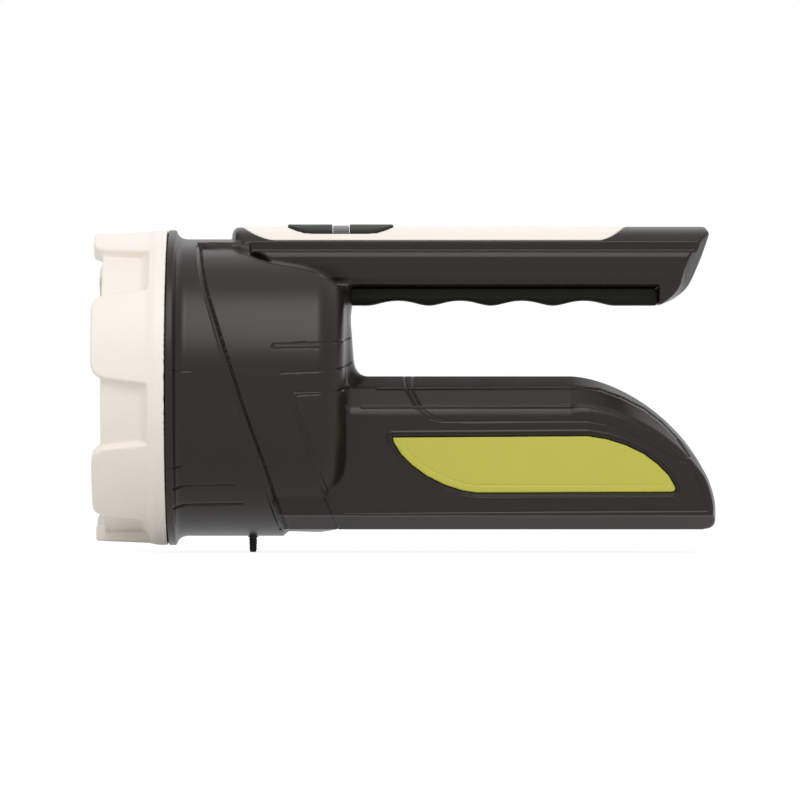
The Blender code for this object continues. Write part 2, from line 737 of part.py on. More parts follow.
def barrel_radius_at(x):
    """Radius of the rear barrel, which falls off round the shoulder."""
    back = x - (BARREL_REAR - SHOULDER_RADIUS)
    if back <= 0:
        return BARREL_RADIUS
    back = min(back, SHOULDER_RADIUS)
    return BARREL_RADIUS - SHOULDER_RADIUS + math.sqrt(SHOULDER_RADIUS ** 2 - back ** 2)


def saddle_solid():
    """Flare from the handle's sides out to the barrel, widest at the rear shoulder."""
    rings = []
    for along, turn in SADDLE_SHARES:
        x = blend(SADDLE_FRONT, SADDLE_REAR, along)
        radius = barrel_radius_at(x) + SADDLE_PROUD
        y = radius * math.sin(SADDLE_ANGLE * turn)
        z = radius * math.cos(SADDLE_ANGLE * turn)
        inner = min(y, HANDLE_HALF_WIDTH) - EDGE
        crest = max(z + EDGE, LEDGE_HEIGHT - SADDLE_SINK * along)
        middle = (blend(inner, y, 1 - SADDLE_HOLLOW_SHARE), blend(crest, z, SADDLE_HOLLOW_SHARE))
        under = (y - EDGE * 2, z - SADDLE_SINK / 2)
        right = [(inner, crest), middle, (y, z), under, (inner, z - SADDLE_SINK)]
        rings.append([(x, -a, b) for a, b in right] + [(x, a, b) for a, b in reversed(right)])
    return loft(rings)


def spine_solid():
    """Wall at the rear of the barrel that ties the handle to the tail."""
    top = PANEL_BOTTOM
    start = BARREL_REAR - SPINE_SWELL
    rear = [(blend(start, SPINE_REACH, along), blend(top, TAIL_TOP, up)) for up, along in SPINE_SHARES]
    front = BARREL_REAR - SHOULDER_RADIUS
    foot = -TAIL_BOTTOM / 2
    outline = [(front, foot), (SPINE_REACH, foot)] + rear[::-1] + [(front, top)]
    wall = prism_y(outline, -SPINE_HALF_WIDTH, SPINE_HALF_WIDTH)
    corner = SPINE_CORNER
    outside = -SPINE_HALF_WIDTH - OVERRUN
    plan = [(front - OVERRUN, outside), (BARREL_REAR - corner / 2, outside)]
    for step in range(SPINE_CORNER_STEPS + 1):
        angle = math.pi / 2 * step / SPINE_CORNER_STEPS
        x = SPINE_REACH - corner * (1 - math.sin(angle))
        plan.append((x, -SPINE_HALF_WIDTH + corner * (1 - math.cos(angle))))
    plan += [(x, -y) for x, y in reversed(plan)]
    return keep_common(wall, prism_z(plan, -TAIL_BOTTOM, top + OVERRUN))


def tail_behind_step(wall=0.0, side_wall=0.0):
    """The tail, whose front follows the slanting end of the sleeve."""
    return keep_common(tail_solid(wall, side_wall), move_shape(behind_step(), x=wall - GAP))


def housing_outer():
    body = sleeve_solid()
    barrel = turned(barrel_profile(BARREL_RADIUS, BARREL_REAR, SHOULDER_RADIUS))
    return join(body, barrel, tail_behind_step(), spine_solid(), saddle_solid(), handle_solid())


def barrel_cavity():
    """Room for the reflector and the electronics, open to the front."""
    neck = NECK_RADIUS - NECK_WALL
    inner = BARREL_RADIUS - WALL
    step = BEZEL_LENGTH + FLANGE_LENGTH + OVERRUN / 2
    front = neck_front() - OVERRUN
    rear = BARREL_REAR - WALL
    shoulder = SHOULDER_RADIUS - WALL
    profile = [(front, 0), (front, neck), (step, neck), (step + inner - neck, inner)]
    for index in range(SHOULDER_STEPS):
        angle = math.pi / 2 * index / (SHOULDER_STEPS - 1)
        profile.append((rear - shoulder * (1 - math.sin(angle)), inner - shoulder * (1 - math.cos(angle))))
    profile.append((rear, 0))
    return turned(profile, TURN_SEGMENTS // 2)


def handle_cavity():
    """Long room in the handle for the switch board, open down into the barrel."""
    half_width = HANDLE_HALF_WIDTH - WALL - EDGE
    floor = PANEL_BOTTOM + HANDLE_FLOOR
    ceiling = HANDLE_TOP - STRIP_THICKNESS - GAP - SEAT_FLOOR
    knee_side = half_width * ROOM_KNEE_SHARE
    knee = crown_height(knee_side, HANDLE_TOP - ceiling) - EDGE
    right = [(half_width * ROOM_CEILING_SHARE, ceiling - EDGE), (knee_side, knee),
             (half_width, LEDGE_HEIGHT - WALL * 2), (half_width, floor)]
    outline = right + [(-y, z) for y, z in reversed(right)]
    front = STRIP_FRONT + STRIP_HALF_WIDTH / 2
    return prism_x(outline, front, HANDLE_REAR - HANDLE_ROOM_END)


def tail_cavity():
    return tail_behind_step(WALL, WALL + PANEL_DEPTH)


def neck_front():
    """Front end of the housing neck, behind glass, seal and reflector flange."""
    return reflector_front() + REFLECTOR_FLANGE + GAP


def lens_front():
    return LUG_REACH + BEZEL_LIP + GAP


def seal_front():
    return lens_front() + LENS_THICKNESS + GAP


def reflector_front():
    return seal_front() + SEAL_THICKNESS + GAP


def housing_shells(black, root):
    body = cut(housing_outer(), barrel_cavity(), handle_cavity(), tail_cavity())
    join(body, *housing_bosses())
    cut(body, strip_seat(), grip_recess(), port_hole(), *button_holes(), *panel_recesses())
    cut(body, *boss_holes())
    reach = LAMP_LENGTH + OVERRUN
    right = body.copy()
    right.data = body.data.copy()
    bpy.context.scene.collection.objects.link(right)
    left = cut(body, block((-reach, -GAP / 2, -reach), (reach, reach, reach)))
    right = cut(right, block((-reach, -reach, -reach), (reach, GAP / 2, reach)))
    finish(left, "housing_left", black, root, sharp=CREASE_ANGLE)
    finish(right, "housing_right", black, root, sharp=CREASE_ANGLE)


def strip_seat():
    half_width = STRIP_HALF_WIDTH + GAP
    plan = rounded_strip(STRIP_FRONT - GAP, STRIP_REAR + GAP, half_width, STRIP_END_STEPS)
    low = STRIP_THICKNESS + GAP
    seat = crown_band(-OVERRUN, low, STRIP_FRONT - OVERRUN, STRIP_REAR + OVERRUN)
    return keep_common(seat, prism_z(plan, LEDGE_HEIGHT, HANDLE_TOP + OVERRUN))


def grip_recess():
    half_width = GRIP_TONGUE_HALF_WIDTH + GAP
    low = PANEL_BOTTOM - OVERRUN
    high = PANEL_BOTTOM + GRIP_TONGUE_HEIGHT + GAP
    rear = HANDLE_REAR - HANDLE_RAKE - WALL
    return block((GRIP_FRONT + WALL - GAP, -half_width, low), (rear + GAP, half_width, high))


def port_hole():
    hole = rod(-SLEEVE_RADIUS - OVERRUN, -BARREL_RADIUS + WALL + OVERRUN, PORT_HOLE_RADIUS)
    return turned_z(hole, (SOCKET_PLACE, 0, 0))


def button_places():
    power = (PAD_FRONT + WINDOW_FRONT) / 2
    mode = (WINDOW_REAR + PAD_REAR) / 2
    return {"power": power, "mode": mode}


def button_holes():
    low = HANDLE_TOP - STRIP_THICKNESS - SEAT_FLOOR - OVERRUN
    hole = rod(low, HANDLE_TOP + OVERRUN, STEM_RADIUS + STEM_CLEARANCE)
    return [turned_z(hole, (x, 0, 0)) for x in button_places().values()]


def panel_recesses():
    outline = shrink(panel_outline(), [-GAP] * len(panel_outline()))
    low = TAIL_HALF_WIDTH - PANEL_DEPTH - PANEL_SINK - GAP
    right = prism_y(outline, low, TAIL_HALF_WIDTH + OVERRUN)
    left = mirror_y(right)
    return left, right


def upper_boss_height():
    return TAIL_TOP - BOSS_DROP


def boss_places():
    """Screw axes as (x, z): three pairs along the tail and the handle."""
    tail_front = BARREL_REAR + BOSS_INSET
    tail_rear = LAMP_LENGTH - BOSS_INSET
    top_rear = TAIL_BEND + BOSS_INSET
    handle_middle = PAD_REAR + BOSS_INSET
    handle_rear = HANDLE_REAR - HANDLE_RAKE + BOSS_RADIUS - BOSS_INSET
    handle_height = PANEL_BOTTOM + HANDLE_FLOOR + BOSS_RADIUS + EDGE
    low = BOSS_LIFT - TAIL_BOTTOM
    high = upper_boss_height()
    tail = [(tail_front, low), (tail_front, high), (tail_rear, low), (top_rear, high)]
    return tail + [(handle_middle, handle_height), (handle_rear, handle_height)]


def boss_reach(z):
    """Half-length of a boss that ends inside the wall at this height."""
    if z > 0:
        return HANDLE_HALF_WIDTH - WALL
    if z > -TAIL_TOE / 2:
        return TAIL_HALF_WIDTH - WALL
    return TAIL_HALF_WIDTH - WALL - PANEL_DEPTH + EDGE


def housing_bosses():
    pieces = []
    for x, z in boss_places():
        reach = boss_reach(z)
        pieces.append(turned_y(rod(-reach, reach, BOSS_RADIUS), (x, 0, z)))
    return pieces + [sink_rib()] + board_posts() + driver_posts() + holder_rails()


def sink_plate_front():
    return reflector_rear() + GAP


def sink_rib():
    """Rib round the inside of the barrel, against the rear of the heat sink's plate."""
    front = sink_plate_front() + HEAT_SINK_PLATE + GAP
    inner = HEAT_SINK_RADIUS - SINK_RIB_DEPTH
    outer = BARREL_RADIUS - WALL / 2
    rear = front + SINK_RIB_DEPTH
    profile = [(front, inner), (front, outer), (rear, outer), (rear, inner)]
    passage = HANDLE_HALF_WIDTH / 2
    return cut(turned_ring(profile, TURN_SEGMENTS // 2),
               block((front - OVERRUN, -passage, -outer - OVERRUN),
                     (rear + OVERRUN, passage, -inner + OVERRUN)))


def switch_board_top():
    """Upper face of the switch board, below the button stems and the switches."""
    ceiling = HANDLE_TOP - STRIP_THICKNESS - SEAT_FLOOR
    return ceiling - SWITCH_HEIGHT - SWITCH_NUB_HEIGHT - GAP * 3


def board_posts():
    """Posts under the rear end of the switch board."""
    low = PANEL_BOTTOM + HANDLE_FLOOR - WALL / 2
    post = rod(low, switch_board_top() - BOARD_THICKNESS - GAP, BOARD_POST_RADIUS)
    x = PAD_REAR - BOARD_POST_RADIUS
    side = SWITCH_BOARD_HALF_WIDTH - BOARD_POST_RADIUS
    return [turned_z(post, (x, y, 0), SMALL_SEGMENTS // 2) for y in (-side, side)]


def driver_board_rear():
    return BARREL_REAR - WALL - DRIVER_POST_LENGTH


def driver_posts():
    profile = rod(driver_board_rear() + GAP, BARREL_REAR - WALL / 2, DRIVER_POST_RADIUS)
    posts = []
    for y in (-DRIVER_POST_SPACING / 2, DRIVER_POST_SPACING / 2):
        for z in (DRIVER_RISE - DRIVER_HEIGHT / 4, DRIVER_RISE + DRIVER_HEIGHT / 4):
            posts.append(move_shape(turned(profile, SMALL_SEGMENTS // 2), y=y, z=z))
    return posts


def holder_bottom():
    return CELL_HEIGHT - CELL_RADIUS - HOLDER_FLOOR - GAP


def holder_half_width():
    return CELL_SPACING / 2 + CELL_RADIUS + GAP + HOLDER_WALL


def holder_ends():
    end = CONTACT_BUMP + CONTACT_THICKNESS + GAP * 2 + HOLDER_WALL
    return CELL_FRONT - CELL_CAP_HEIGHT - GAP - end, CELL_FRONT + CELL_LENGTH + end


def holder_rails():
    """Rails on the floor of the tail that carry the battery holder."""
    front, rear = holder_ends()
    rails = []
    for y in (-holder_half_width() / 2, holder_half_width() / 2):
        low = (front + HOLDER_FOOT, y - HOLDER_FOOT / 2, -TAIL_BOTTOM + WALL / 2)
        high = (rear - HOLDER_FOOT, y + HOLDER_FOOT / 2, holder_bottom() - GAP)
        rails.append(block(low, high))
    return rails


def boss_holes():
    """Counterbores and clearance holes from the right, pilot holes in the left shell."""
    seat = SCREW_LENGTH - SCREW_GRIP
    tip = -SCREW_GRIP - GAP
    outside = TAIL_HALF_WIDTH + OVERRUN
    shank = SCREW_RADIUS + GAP
    head = SCREW_HEAD_RADIUS + GAP
    profile = ((tip, 0), (tip, shank), (seat, shank), (seat, head), (outside, head), (outside, 0))
    return [turned_y(profile, (x, 0, z)) for x, z in boss_places()]


def screws(steel, root):
    seat = SCREW_LENGTH - SCREW_GRIP + GAP
    tip = seat - SCREW_LENGTH
    head = seat + SCREW_HEAD_HEIGHT
    profile = ((tip, 0), (tip + SCREW_RADIUS, SCREW_RADIUS), (seat, SCREW_RADIUS),
               (seat, SCREW_HEAD_RADIUS), (head - EDGE, SCREW_HEAD_RADIUS),
               (head, SCREW_HEAD_RADIUS - EDGE), (head, 0))
    for number, (x, z) in enumerate(boss_places(), start=1):
        finish(turned_y(profile, (x, 0, z)), "housing_screw_%d" % number, steel, root)


# Bezel, glass and reflector

def bezel(cream, root):
    ring_front = BEZEL_LENGTH - RING_LENGTH
    fillet = ring_front - (LUG_REAR_RADIUS - RECESS_RADIUS)
    along, up = BEZEL_FILLET_SHARES
    hollow = (blend(fillet, ring_front, along), blend(RECESS_RADIUS, LUG_REAR_RADIUS, up))
    profile = [(LUG_REACH, 0), (LUG_REACH, RECESS_RADIUS - EDGE), (LUG_REACH + EDGE, RECESS_RADIUS),
               (fillet, RECESS_RADIUS), hollow, (ring_front, LUG_REAR_RADIUS - EDGE),
               (ring_front + RING_RISE, BEZEL_RADIUS), (BEZEL_LENGTH - EDGE, BEZEL_RADIUS),
               (BEZEL_LENGTH, BEZEL_RADIUS - EDGE), (BEZEL_LENGTH, 0)]
    ring = turned(profile)
    for index in range(LUG_COUNT):
        join(ring, lug(LUG_FIRST_ANGLE + 2 * math.pi * index / LUG_COUNT))
    bore = NECK_RADIUS + GAP
    seat = LUG_REACH + BEZEL_LIP
    rear = BEZEL_LENGTH + OVERRUN
    cut(ring, turned([(-OVERRUN, 0), (-OVERRUN, LENS_OPENING_RADIUS), (seat, LENS_OPENING_RADIUS),
                      (seat, bore), (rear, bore), (rear, 0)]))
    finish(ring, "bezel", cream, root)


def lug(angle):
    """One crash lug: a curved block that narrows towards the front, with eased edges."""
    rear = BEZEL_LENGTH - RING_LENGTH + RING_RISE
    stations = ((0, LUG_FRONT_RADIUS - EDGE, LUG_FRONT_HALF_ANGLE * LUG_EASE_SHARE, EDGE),
                (EDGE, LUG_FRONT_RADIUS, LUG_FRONT_HALF_ANGLE, 0),
                (rear, LUG_REAR_RADIUS, LUG_REAR_HALF_ANGLE, 0))
    rings = []
    for x, radius, half_angle, ease in stations:
        inner = LUG_FRONT_RADIUS - LUG_THICKNESS + ease
        ring = []
        for reach, direction in ((radius, 1), (inner, -1)):
            for step in range(LUG_ARC_STEPS + 1):
                turn = angle + direction * half_angle * (2 * step / LUG_ARC_STEPS - 1)
                ring.append((x, -reach * math.cos(turn), reach * math.sin(turn)))
        rings.append(ring)
    return loft(rings)


def lens(clear, root):
    front = lens_front()
    rear = front + LENS_THICKNESS
    radius = NECK_RADIUS - GAP
    glass = turned(((front, 0), (front, radius - EDGE), (front + EDGE, radius),
                    (rear - EDGE, radius), (rear, radius - EDGE), (rear, 0)))
    finish(glass, "lens", clear, root)


def lens_seal(rubber, root):
    front = seal_front()
    outer = NECK_RADIUS - GAP
    inner = outer - SEAL_WIDTH
    rear = front + SEAL_THICKNESS
    seal = turned_ring([(front, inner), (front, outer), (rear, outer), (rear, inner)])
    finish(seal, "lens_seal", rubber, root)


def bowl_radius():
    return NECK_RADIUS - NECK_WALL - REFLECTOR_WALL - GAP


def bowl_focus():
    """Distance from the bowl's vertex to its focus."""
    return bowl_radius() ** 2 / (4 * BOWL_DEPTH)


def bowl_depth(radius):
    """How far the bowl's surface lies ahead of its vertex at this radius."""
    return radius * radius / (4 * bowl_focus())


def reflector_rear():
    bowl = bowl_depth(bowl_radius()) - bowl_depth(REFLECTOR_HOLE_RADIUS)
    return reflector_front() + bowl + REFLECTOR_NECK


def reflector(chrome, root):
    """Parabolic bowl with a front flange and a short neck round its rear hole."""
    front = reflector_front()
    vertex = front + bowl_depth(bowl_radius())
    inside = []
    for step in range(REFLECTOR_STEPS + 1):
        radius = blend(bowl_radius(), REFLECTOR_HOLE_RADIUS, step / REFLECTOR_STEPS)
        inside.append((vertex - bowl_depth(radius), radius))
    rear = reflector_rear()
    slant = REFLECTOR_WALL * REFLECTOR_SLANT_SHARE
    outside = [(x + slant, radius + REFLECTOR_WALL) for x, radius in reversed(inside[1:])]
    flange_rear = front + REFLECTOR_FLANGE
    flange = [(flange_rear, bowl_radius() + REFLECTOR_WALL * REFLECTOR_RIM_SHARE),
              (flange_rear, NECK_RADIUS - GAP), (front, NECK_RADIUS - GAP)]
    neck = [(rear, REFLECTOR_HOLE_RADIUS), (rear, REFLECTOR_HOLE_RADIUS + REFLECTOR_WALL)]
    bowl = turned_ring(inside + neck + outside + flange, REFLECTOR_SEGMENTS)
    finish(bowl, "reflector", chrome, root)


def heat_sink(aluminium, root):
    """Round plate with a pedestal in the reflector's hole and fins behind."""
    front = sink_plate_front()
    plate_rear = front + HEAT_SINK_PLATE
    fins_rear = plate_rear + FIN_HEIGHT
    pedestal = pedestal_front()
    core = turned(((pedestal, 0), (pedestal, PEDESTAL_RADIUS), (front, PEDESTAL_RADIUS),
                   (front, HEAT_SINK_RADIUS), (plate_rear, HEAT_SINK_RADIUS), (plate_rear, 0)),
                  TURN_SEGMENTS // 2)
    reach = HEAT_SINK_RADIUS - SINK_RIB_DEPTH - GAP * 2
    for index in range(FIN_COUNT):
        y = (index - (FIN_COUNT - 1) / 2) * FIN_PITCH
        half_height = math.sqrt(reach * reach - (abs(y) + FIN_THICKNESS / 2) ** 2)
        join(core, block((plate_rear - EDGE, y - FIN_THICKNESS / 2, -half_height),
                         (fins_rear, y + FIN_THICKNESS / 2, half_height)))
    wire_hole = rod(pedestal - OVERRUN, plate_rear + OVERRUN, WIRE_RADIUS + WIRE_CLEARANCE)
    for y in led_lead_sides():
        cut(core, move_shape(turned(wire_hole, SMALL_SEGMENTS), y=y))
    finish(core, "heat_sink", aluminium, root)


def pedestal_front():
    """Front of the pedestal that holds the light source near the bowl's focus."""
    return sink_plate_front() - bowl_focus() * PEDESTAL_SHARE


def led_lead_sides():
    """The two lamp leads run in the gaps beside the middle fin."""
    return -FIN_PITCH / 2, FIN_PITCH / 2


def light_source(white, phosphor, root):
    rear = pedestal_front() - GAP
    front = rear - LED_BOARD_THICKNESS
    board = turned(rod(front, rear, LED_BOARD_RADIUS), TURN_SEGMENTS // 3)
    finish(board, "led_board", white, root)
    half = LED_SIZE / 2
    chip_rear = front - GAP
    base = chip_rear - LED_BASE
    chip = block((base, -half, -half), (chip_rear, half, half))
    dome = [(base + LED_BASE / 2, 0), (base + LED_BASE / 2, LED_DOME_RADIUS)]
    for step in range(LED_DOME_STEPS):
        angle = math.pi / 2 * step / LED_DOME_STEPS
        dome.append((base - LED_DOME_RADIUS * math.sin(angle), LED_DOME_RADIUS * math.cos(angle)))
    dome.append((base - LED_DOME_RADIUS, 0))
    finish(join(chip, turned(dome, SMALL_SEGMENTS)), "led_emitter", phosphor, root)


def driver_board(green, root):
    rear = driver_board_rear()
    front = rear - BOARD_THICKNESS
    side = DRIVER_WIDTH / 2
    top = DRIVER_HEIGHT / 2
    board = block((front, -side, -top), (rear, side, top))
    for across, up, width, height in CHIP_SHARES:
        y = across * DRIVER_WIDTH
        z = up * DRIVER_HEIGHT
        half_width = width * DRIVER_WIDTH / 2
        half_height = height * DRIVER_HEIGHT / 2
        join(board, block((front - CHIP_HEIGHT, y - half_width, z - half_height),
                          (front + EDGE, y + half_width, z + half_height)))
    finish(move_shape(board, z=DRIVER_RISE), "driver_board", green, root)


# Handle furniture

def handle_strip(cream, root):
    plan = rounded_strip(STRIP_FRONT, STRIP_REAR, STRIP_HALF_WIDTH, STRIP_END_STEPS)
    strip = crown_band(0, STRIP_THICKNESS, STRIP_FRONT - OVERRUN, STRIP_REAR + OVERRUN)
    keep_common(strip, prism_z(plan, LEDGE_HEIGHT, HANDLE_TOP + OVERRUN))
    hole = rounded_strip(PAD_FRONT - GAP, PAD_REAR + GAP, PAD_HALF_WIDTH + GAP, PAD_END_STEPS)
    cut(strip, prism_z(hole, LEDGE_HEIGHT, HANDLE_TOP + OVERRUN))
    finish(strip, "handle_strip", cream, root)


def pad_piece(front, rear, top, bottom):
    """Crowned piece of the oval switch pad between two cross lines."""
    plan = rounded_strip(PAD_FRONT, PAD_REAR, PAD_HALF_WIDTH, PAD_END_STEPS)
    piece = crown_band(top, bottom, front, rear)
    return keep_common(piece, prism_z(plan, LEDGE_HEIGHT, HANDLE_TOP + OVERRUN))


def switch_pad(grey, window_grey, root):
    stem_low = switch_board_top() + SWITCH_HEIGHT + SWITCH_NUB_HEIGHT + GAP
    pieces = {"power": (PAD_FRONT - OVERRUN, WINDOW_FRONT - GAP),
              "mode": (WINDOW_REAR + GAP, PAD_REAR + OVERRUN)}
    under = BUTTON_THICKNESS - PAD_PROUD
    for name, (front, rear) in pieces.items():
        cap = pad_piece(front, rear, -PAD_PROUD, under)
        x = button_places()[name]
        join(cap, turned_z(rod(stem_low, HANDLE_TOP - under / 2, STEM_RADIUS), (x, 0, 0)))
        finish(cap, name + "_button", grey, root, (x, 0, HANDLE_TOP))
    window = pad_piece(WINDOW_FRONT, WINDOW_REAR, WINDOW_SINK, STRIP_THICKNESS)
    finish(window, "indicator_window", window_grey, root)


def switches(green, grey, root):
    top = switch_board_top()
    bottom = top - BOARD_THICKNESS
    board = block((PAD_FRONT - SWITCH_BOARD_MARGIN, -SWITCH_BOARD_HALF_WIDTH, bottom),
                  (PAD_REAR + SWITCH_BOARD_MARGIN, SWITCH_BOARD_HALF_WIDTH, top))
    finish(board, "switch_board", green, root)
    half = SWITCH_SIZE / 2
    low = top + GAP
    high = top + SWITCH_HEIGHT
    nub = rod(low + EDGE, high + SWITCH_NUB_HEIGHT - BUTTON_TRAVEL, SWITCH_NUB_RADIUS)
    for name, x in button_places().items():
        body = block((x - half, -half, low), (x + half, half, high))
        join(body, turned_z(nub, (x, 0, 0), SMALL_SEGMENTS // 2))
        finish(body, name + "_switch", grey, root)


def handle_grip(rubber, root):
    """Soft insert under the handle with finger scallops and a tongue into the shell."""
    rear = HANDLE_REAR - HANDLE_RAKE - GAP
    top = PANEL_BOTTOM - GAP
    height = PANEL_BOTTOM - HANDLE_BOTTOM
    right = [(GRIP_HALF_WIDTH * out, HANDLE_BOTTOM + height * up) for out, up in GRIP_SIDE_SHARES]
    right[0] = (right[0][0], top)
    section = right + [(-y, z) for y, z in reversed(right)]
    grip = prism_x(section, GRIP_FRONT, rear)
    radius = (SCALLOP_CHORD ** 2 / 4 + SCALLOP_DEPTH ** 2) / (2 * SCALLOP_DEPTH)
    half_angle = math.asin(SCALLOP_CHORD / 2 / radius)
    for index in range(SCALLOP_COUNT):
        x = SCALLOP_FIRST + SCALLOP_PITCH * index
        low = HANDLE_BOTTOM - OVERRUN
        outline = [(x - SCALLOP_CHORD / 2, low), (x + SCALLOP_CHORD / 2, low)]
        for step in range(SCALLOP_STEPS + 1):
            angle = half_angle * (1 - 2 * step / SCALLOP_STEPS)
            z = HANDLE_BOTTOM + SCALLOP_DEPTH - radius * (1 - math.cos(angle))
            outline.append((x + radius * math.sin(angle), z))
        cut(grip, prism_y(outline, -GRIP_HALF_WIDTH - OVERRUN, GRIP_HALF_WIDTH + OVERRUN))
    tongue = block((GRIP_FRONT + WALL, -GRIP_TONGUE_HALF_WIDTH, top - EDGE),
                   (rear - WALL + GAP, GRIP_TONGUE_HALF_WIDTH, top + GRIP_TONGUE_HEIGHT))
    finish(join(grip, tongue), "handle_grip", rubber, root)


def side_panels(lime, root):
    """Leaf-shaped insets with an eased rim, a little below the tail's sides."""
    outline = panel_outline()
    inner = TAIL_HALF_WIDTH - PANEL_DEPTH - PANEL_SINK
    outer = TAIL_HALF_WIDTH - PANEL_SINK
    levels = ((inner, 0), (outer - EDGE, 0), (outer, EDGE))
    rings = [[(x, y, z) for x, z in shrink(outline, [depth] * len(outline))] for y, depth in levels]
    right = loft(rings)
    left = mirror_y(right)
    finish(right, "side_panel_right", lime, root)
    finish(left, "side_panel_left", lime, root)


# Charging port

def charge_port(black, rubber, root):
    half = SOCKET_WIDTH / 2
    bottom = -BARREL_RADIUS + WALL + EDGE
    socket = block((SOCKET_PLACE - half, -half, bottom),
                   (SOCKET_PLACE + half, half, bottom + SOCKET_HEIGHT))
    hole = rod(bottom - OVERRUN, bottom + SOCKET_HOLE_DEPTH, SOCKET_HOLE_RADIUS)
    cut(socket, turned_z(hole, (SOCKET_PLACE, 0, 0)))
    finish(socket, "charge_socket", black, root)
    surface = -SLEEVE_RADIUS
    stem_top = surface + PLUG_STEM_LENGTH
    tip = surface - PLUG_TAB_LENGTH
    seat = surface - GAP
    plug = turned_z(((tip, 0), (tip, PLUG_TIP_RADIUS / 2), (tip + EDGE, PLUG_TIP_RADIUS),
                     (seat - PLUG_FLARE, PLUG_TAB_RADIUS), (seat, PLUG_FLANGE_RADIUS),
                     (seat, PLUG_STEM_RADIUS), (stem_top - EDGE, PLUG_STEM_RADIUS),
                     (stem_top, PLUG_STEM_RADIUS / 2), (stem_top, 0)), (SOCKET_PLACE, 0, 0))
    finish(plug, "port_plug", rubber, root, (SOCKET_PLACE, 0, surface))


# Batteries

def cell_sides():
    return -CELL_SPACING / 2, CELL_SPACING / 2


def battery_cells(blue, root):
    rear = CELL_FRONT + CELL_LENGTH
    cap = CELL_FRONT - CELL_CAP_HEIGHT
    profile = ((cap, 0), (cap, CELL_CAP_RADIUS), (CELL_FRONT, CELL_CAP_RADIUS),
               (CELL_FRONT, CELL_RADIUS - EDGE), (CELL_FRONT + EDGE, CELL_RADIUS),
               (rear - EDGE, CELL_RADIUS), (rear, CELL_RADIUS - EDGE), (rear, 0))
    for number, y in enumerate(cell_sides(), start=1):
        cell = move_shape(turned(profile, SMALL_SEGMENTS * 2), y=y, z=CELL_HEIGHT)
        finish(cell, "battery_cell_%d" % number, blue, root)


def battery_holder(black, root):
    """Tray with a trough for each cell."""
    front, rear = holder_ends()
    half_width = holder_half_width()
    top = holder_bottom() + HOLDER_DEPTH
    tray = block((front, -half_width, holder_bottom()), (rear, half_width, top))
    cut(tray, block((front + HOLDER_WALL, -half_width + HOLDER_WALL, CELL_HEIGHT),
                    (rear - HOLDER_WALL, half_width - HOLDER_WALL, top + OVERRUN)))
    trough = rod(front + HOLDER_WALL, rear - HOLDER_WALL, CELL_RADIUS + GAP)
    for y in cell_sides():
        cut(tray, move_shape(turned(trough, SMALL_SEGMENTS * 2), y=y, z=CELL_HEIGHT))
    finish(tray, "battery_holder", black, root)


def battery_contacts(steel, root):
    """Plate with two bumps at each end of the holder."""
    front, rear = holder_ends()
    low = CELL_HEIGHT + GAP
    high = holder_bottom() + HOLDER_DEPTH + CONTACT_BUMP * 2
    side = CELL_SPACING / 2 + CELL_CAP_RADIUS
    wide, narrow = [CELL_CAP_RADIUS * share for share in CONTACT_BUMP_SHARES]
    for name, face, direction in (("front", front + HOLDER_WALL + GAP, 1),
                                  ("rear", rear - HOLDER_WALL - GAP, -1)):
        middle = face + direction * CONTACT_THICKNESS / 2
        inner = face + direction * CONTACT_THICKNESS
        tip = inner + direction * CONTACT_BUMP
        plate = block((min(face, inner), -side, low), (max(face, inner), side, high))
        bump = ((middle, 0), (middle, wide), (inner, wide), (tip, narrow), (tip, 0))
        for y in cell_sides():
            join(plate, move_shape(turned(bump, SMALL_SEGMENTS // 2), y=y, z=CELL_HEIGHT))
        finish(plate, "battery_contacts_" + name, steel, root)


# Wiring

def curve_points(route):
    """Smooth curve through the route's own points."""
    ends = [route[0] * 2 - route[1]] + route + [route[-1] * 2 - route[-2]]
    points = []
    for index in range(1, len(ends) - 2):
        before, here, after, beyond = ends[index - 1:index + 3]
        slope = after - before
        bend = 2 * before - 5 * here + 4 * after - beyond
        twist = 3 * here - before - 3 * after + beyond
        for step in range(WIRE_STEPS):
            t = step / WIRE_STEPS
            points.append(here + (slope * t + bend * t * t + twist * t ** 3) / 2)
    return points + [route[-1]]


def lead(name, route, material, root):
    curve = bpy.data.curves.new(name, "CURVE")
    curve.dimensions = "3D"
    curve.bevel_depth = WIRE_RADIUS
    curve.bevel_resolution = 1
    curve.use_fill_caps = True
    points = curve_points([Vector(point) for point in route])
    spline = curve.splines.new("POLY")
    spline.points.add(len(points) - 1)
    for target, point in zip(spline.points, points):
        target.co = (*point, 1)
    wire = bpy.data.objects.new(name, curve)
    bpy.context.scene.collection.objects.link(wire)
    wire.data.materials.append(material)
    wire.parent = root


def led_leads(red, black, root):
    start = pedestal_front()
    end = driver_board_rear() - BOARD_THICKNESS
    between = [blend(start, end, share) for share in LEAD_SHARES]
    for name, y, material in zip(("plus", "minus"), led_lead_sides(), (red, black)):
        route = [(x, y, 0) for x in (start, *between, end - GAP)]
        lead("lead_led_" + name, route, material, root)


